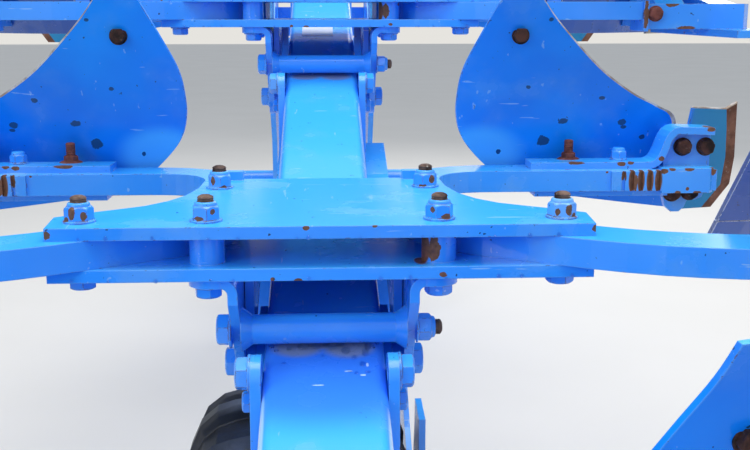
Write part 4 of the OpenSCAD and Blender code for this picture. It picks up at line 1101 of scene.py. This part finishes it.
def wheel_nuts():
    """Nuts and bolt heads around the disc, and the hub's cap"""
    hub = Shape()
    for i in range(WHEEL_BOLTS):
        angle = math.radians(360 / WHEEL_BOLTS * i)
        lock_nut(hub, facing_along(on_wheel(DISC_RIGHT, BOLT_CIRCLE, angle), RIGHT, angle),
                 M16, 8)
        bolt_head(hub, facing_along(on_wheel(DISC_LEFT, BOLT_CIRCLE, angle), LEFT, angle), M16)
    turned(hub, HUB_CAP, facing_along(on_wheel(HUB_END, 0, 0), LEFT))
    hub.build("wheel_nuts", "wheel", [rim_paint, bolt_rust])


def wheel_arm_bolts():
    heads = Shape()
    bolt_head(heads, facing_along(at_machine(*ARM_PIVOT), RIGHT, 0.2), M24)
    bolt_head(heads, facing_along(at_machine(*AXLE_END), RIGHT, 0.5), M24)
    heads.build("wheel_arm_bolts", "wheel_arm", [nut_paint])


# Pins and fasteners of the headstock. Their rings are given as radius and height.

SHAFT_STEPS = 16
KNOB_STEPS = 20
# Linch pin through the right lower-link pin, as its lowest point, and the knob on it
LINCH_PIN = (576.5, 3420, 588)
LINCH_SHANK = [(5, 0), (5.4, 3), (5.4, 64), (5, 66)]
KNOB_LIFT = 58
LINCH_KNOB = [(9, 0), (11, 3), (11, 12), (8, 15)]
# Lock pin of the right stand, on its sleeve, and the lower end of its handle
LOCK_PLACE = (301, 3130, 520)
LOCK_PIN = [(13, 0), (13, 4), (9, 5), (9, 34), (7, 37)]
HANDLE_PLACE = (329, 3130, 512)
LOCK_HANDLE = [(5, 0), (5, 70), (3, 73)]
# Bolt heads on the tower's right side: its X, and their Y and Z
TOWER_SIDE = 200
TOWER_BOLTS = [(2908, 1000), (2908, 1160), (3162, 1000), (3162, 1160), (3353, 1335),
               (3353, 1275), (3204, 1480), (3204, 1520), (3319, 1480), (3319, 1520)]
# Caps on the two ends of the turnover cylinder's pin
CYLINDER_PIN_ENDS = (((0, 3335, 1500), FRONT), ((0, 3188, 1500), BACK))
PIN_CAP = [(24, 0), (24, 4), (15, 5), (12, 9)]


def headstock_pins():
    """Linch pins, the stands' lock pins, and the bolts of the tower and its cylinder"""
    pins = Shape()
    for side in SIDES:
        x, y, z = LINCH_PIN
        turned(pins, LINCH_SHANK, facing_along(at_machine(side * x, y, z), UP), SHAFT_STEPS)
        turned(pins, LINCH_KNOB, facing_along(at_machine(side * x, y, z + KNOB_LIFT), UP),
               KNOB_STEPS)
        x, y, z = LOCK_PLACE
        turned(pins, LOCK_PIN, facing_along(at_machine(side * x, y, z), (side, 0, 0)))
        x, y, z = HANDLE_PLACE
        turned(pins, LOCK_HANDLE, facing_along(at_machine(side * x, y, z), UP), SHAFT_STEPS)
        for y, z in TOWER_BOLTS:
            place = at_machine(side * TOWER_SIDE, y, z)
            bolt_head(pins, facing_along(place, (side, 0, 0), 0.3), M16)
    for place, axis in CYLINDER_PIN_ENDS:
        turned(pins, PIN_CAP, facing_along(at_machine(*place), axis))
    pins.build("headstock_pins", "headstock", [nut_paint])


# Floor, world and lamps

FLOOR_REACH = 40
# Soft lamps: name, place, where it points, edge of its square in metres, watts
LAMPS = (("sky_panel", (0.5, -1.0, 6.0), (0, -0.6, 1.0), 5.0, 330),
         ("rear_left_panel", (-4.5, -5.0, 3.5), (0, -0.5, 1.0), 3.0, 110),
         ("front_panel", (2.5, 6.0, 4.0), (0, 0.5, 1.0), 3.5, 120))


def pale_floor():
    low = cad_box[0][2]
    corners = [(-FLOOR_REACH, -FLOOR_REACH, low), (FLOOR_REACH, -FLOOR_REACH, low),
               (FLOOR_REACH, FLOOR_REACH, low), (-FLOOR_REACH, FLOOR_REACH, low)]
    mesh = bpy.data.meshes.new("pale_floor")
    mesh.from_pydata(corners, [], [(0, 1, 2, 3)])
    floor = bpy.data.objects.new("pale_floor", mesh)
    bpy.context.scene.collection.objects.link(floor)
    material, tree = new_material("pale_floor")
    place = add(tree, "ShaderNodeTexCoord", out="Object")
    cloud = add(tree, NOISE, {"Vector": place, "Scale": 1.1, "Detail": 3.0})
    colour = add(tree, MIX, {FACTOR: cloud, FIRST: linear("#D9D5CE"), SECOND: linear("#E2DED8")},
                 **TINT)
    close_material(tree, {"Base Color": colour, "Roughness": 0.85})
    mesh.materials.append(material)


def soft_daylight():
    """A pale blue sky that lights the plough, and a pale backdrop that the camera sees"""
    world = bpy.data.worlds.new("soft_daylight")
    world.use_nodes = True
    tree = world.node_tree
    tree.nodes.clear()
    sky = add(tree, "ShaderNodeBackground", {"Color": linear("#DDE6F2"), "Strength": 0.75})
    seen = add(tree, "ShaderNodeBackground", {"Color": linear("#E6E4DF"), "Strength": 1.0})
    to_camera = add(tree, "ShaderNodeLightPath", out="Is Camera Ray")
    both = add(tree, "ShaderNodeMixShader", {0: to_camera, 1: sky, 2: seen})
    add(tree, "ShaderNodeOutputWorld", {"Surface": both})
    bpy.context.scene.world = world


def soft_lamps():
    for name, place, target, size, power in LAMPS:
        data = bpy.data.lights.new(name, "AREA")
        data.size = size
        data.energy = power
        lamp = bpy.data.objects.new(name, data)
        lamp.location = place
        lamp.rotation_euler = (Vector(target) - Vector(place)).to_track_quat(
            "-Z", "Y").to_euler()
        bpy.context.scene.collection.objects.link(lamp)


for k in CONSOLES:
    console_bolts(k)
    skimmer_bolts(k)
for k in CONSOLES:
    skimmer_plates(k)
    console_ribs(k)
for k in CONSOLES:
    board_bolts(k)
beam_label()
rain_drops()
depth_wheel_tyre()
wheel_nuts()
wheel_arm_bolts()
headstock_pins()
pale_floor()
soft_daylight()
soft_lamps()
bpy.context.scene.view_settings.view_transform = "Standard"
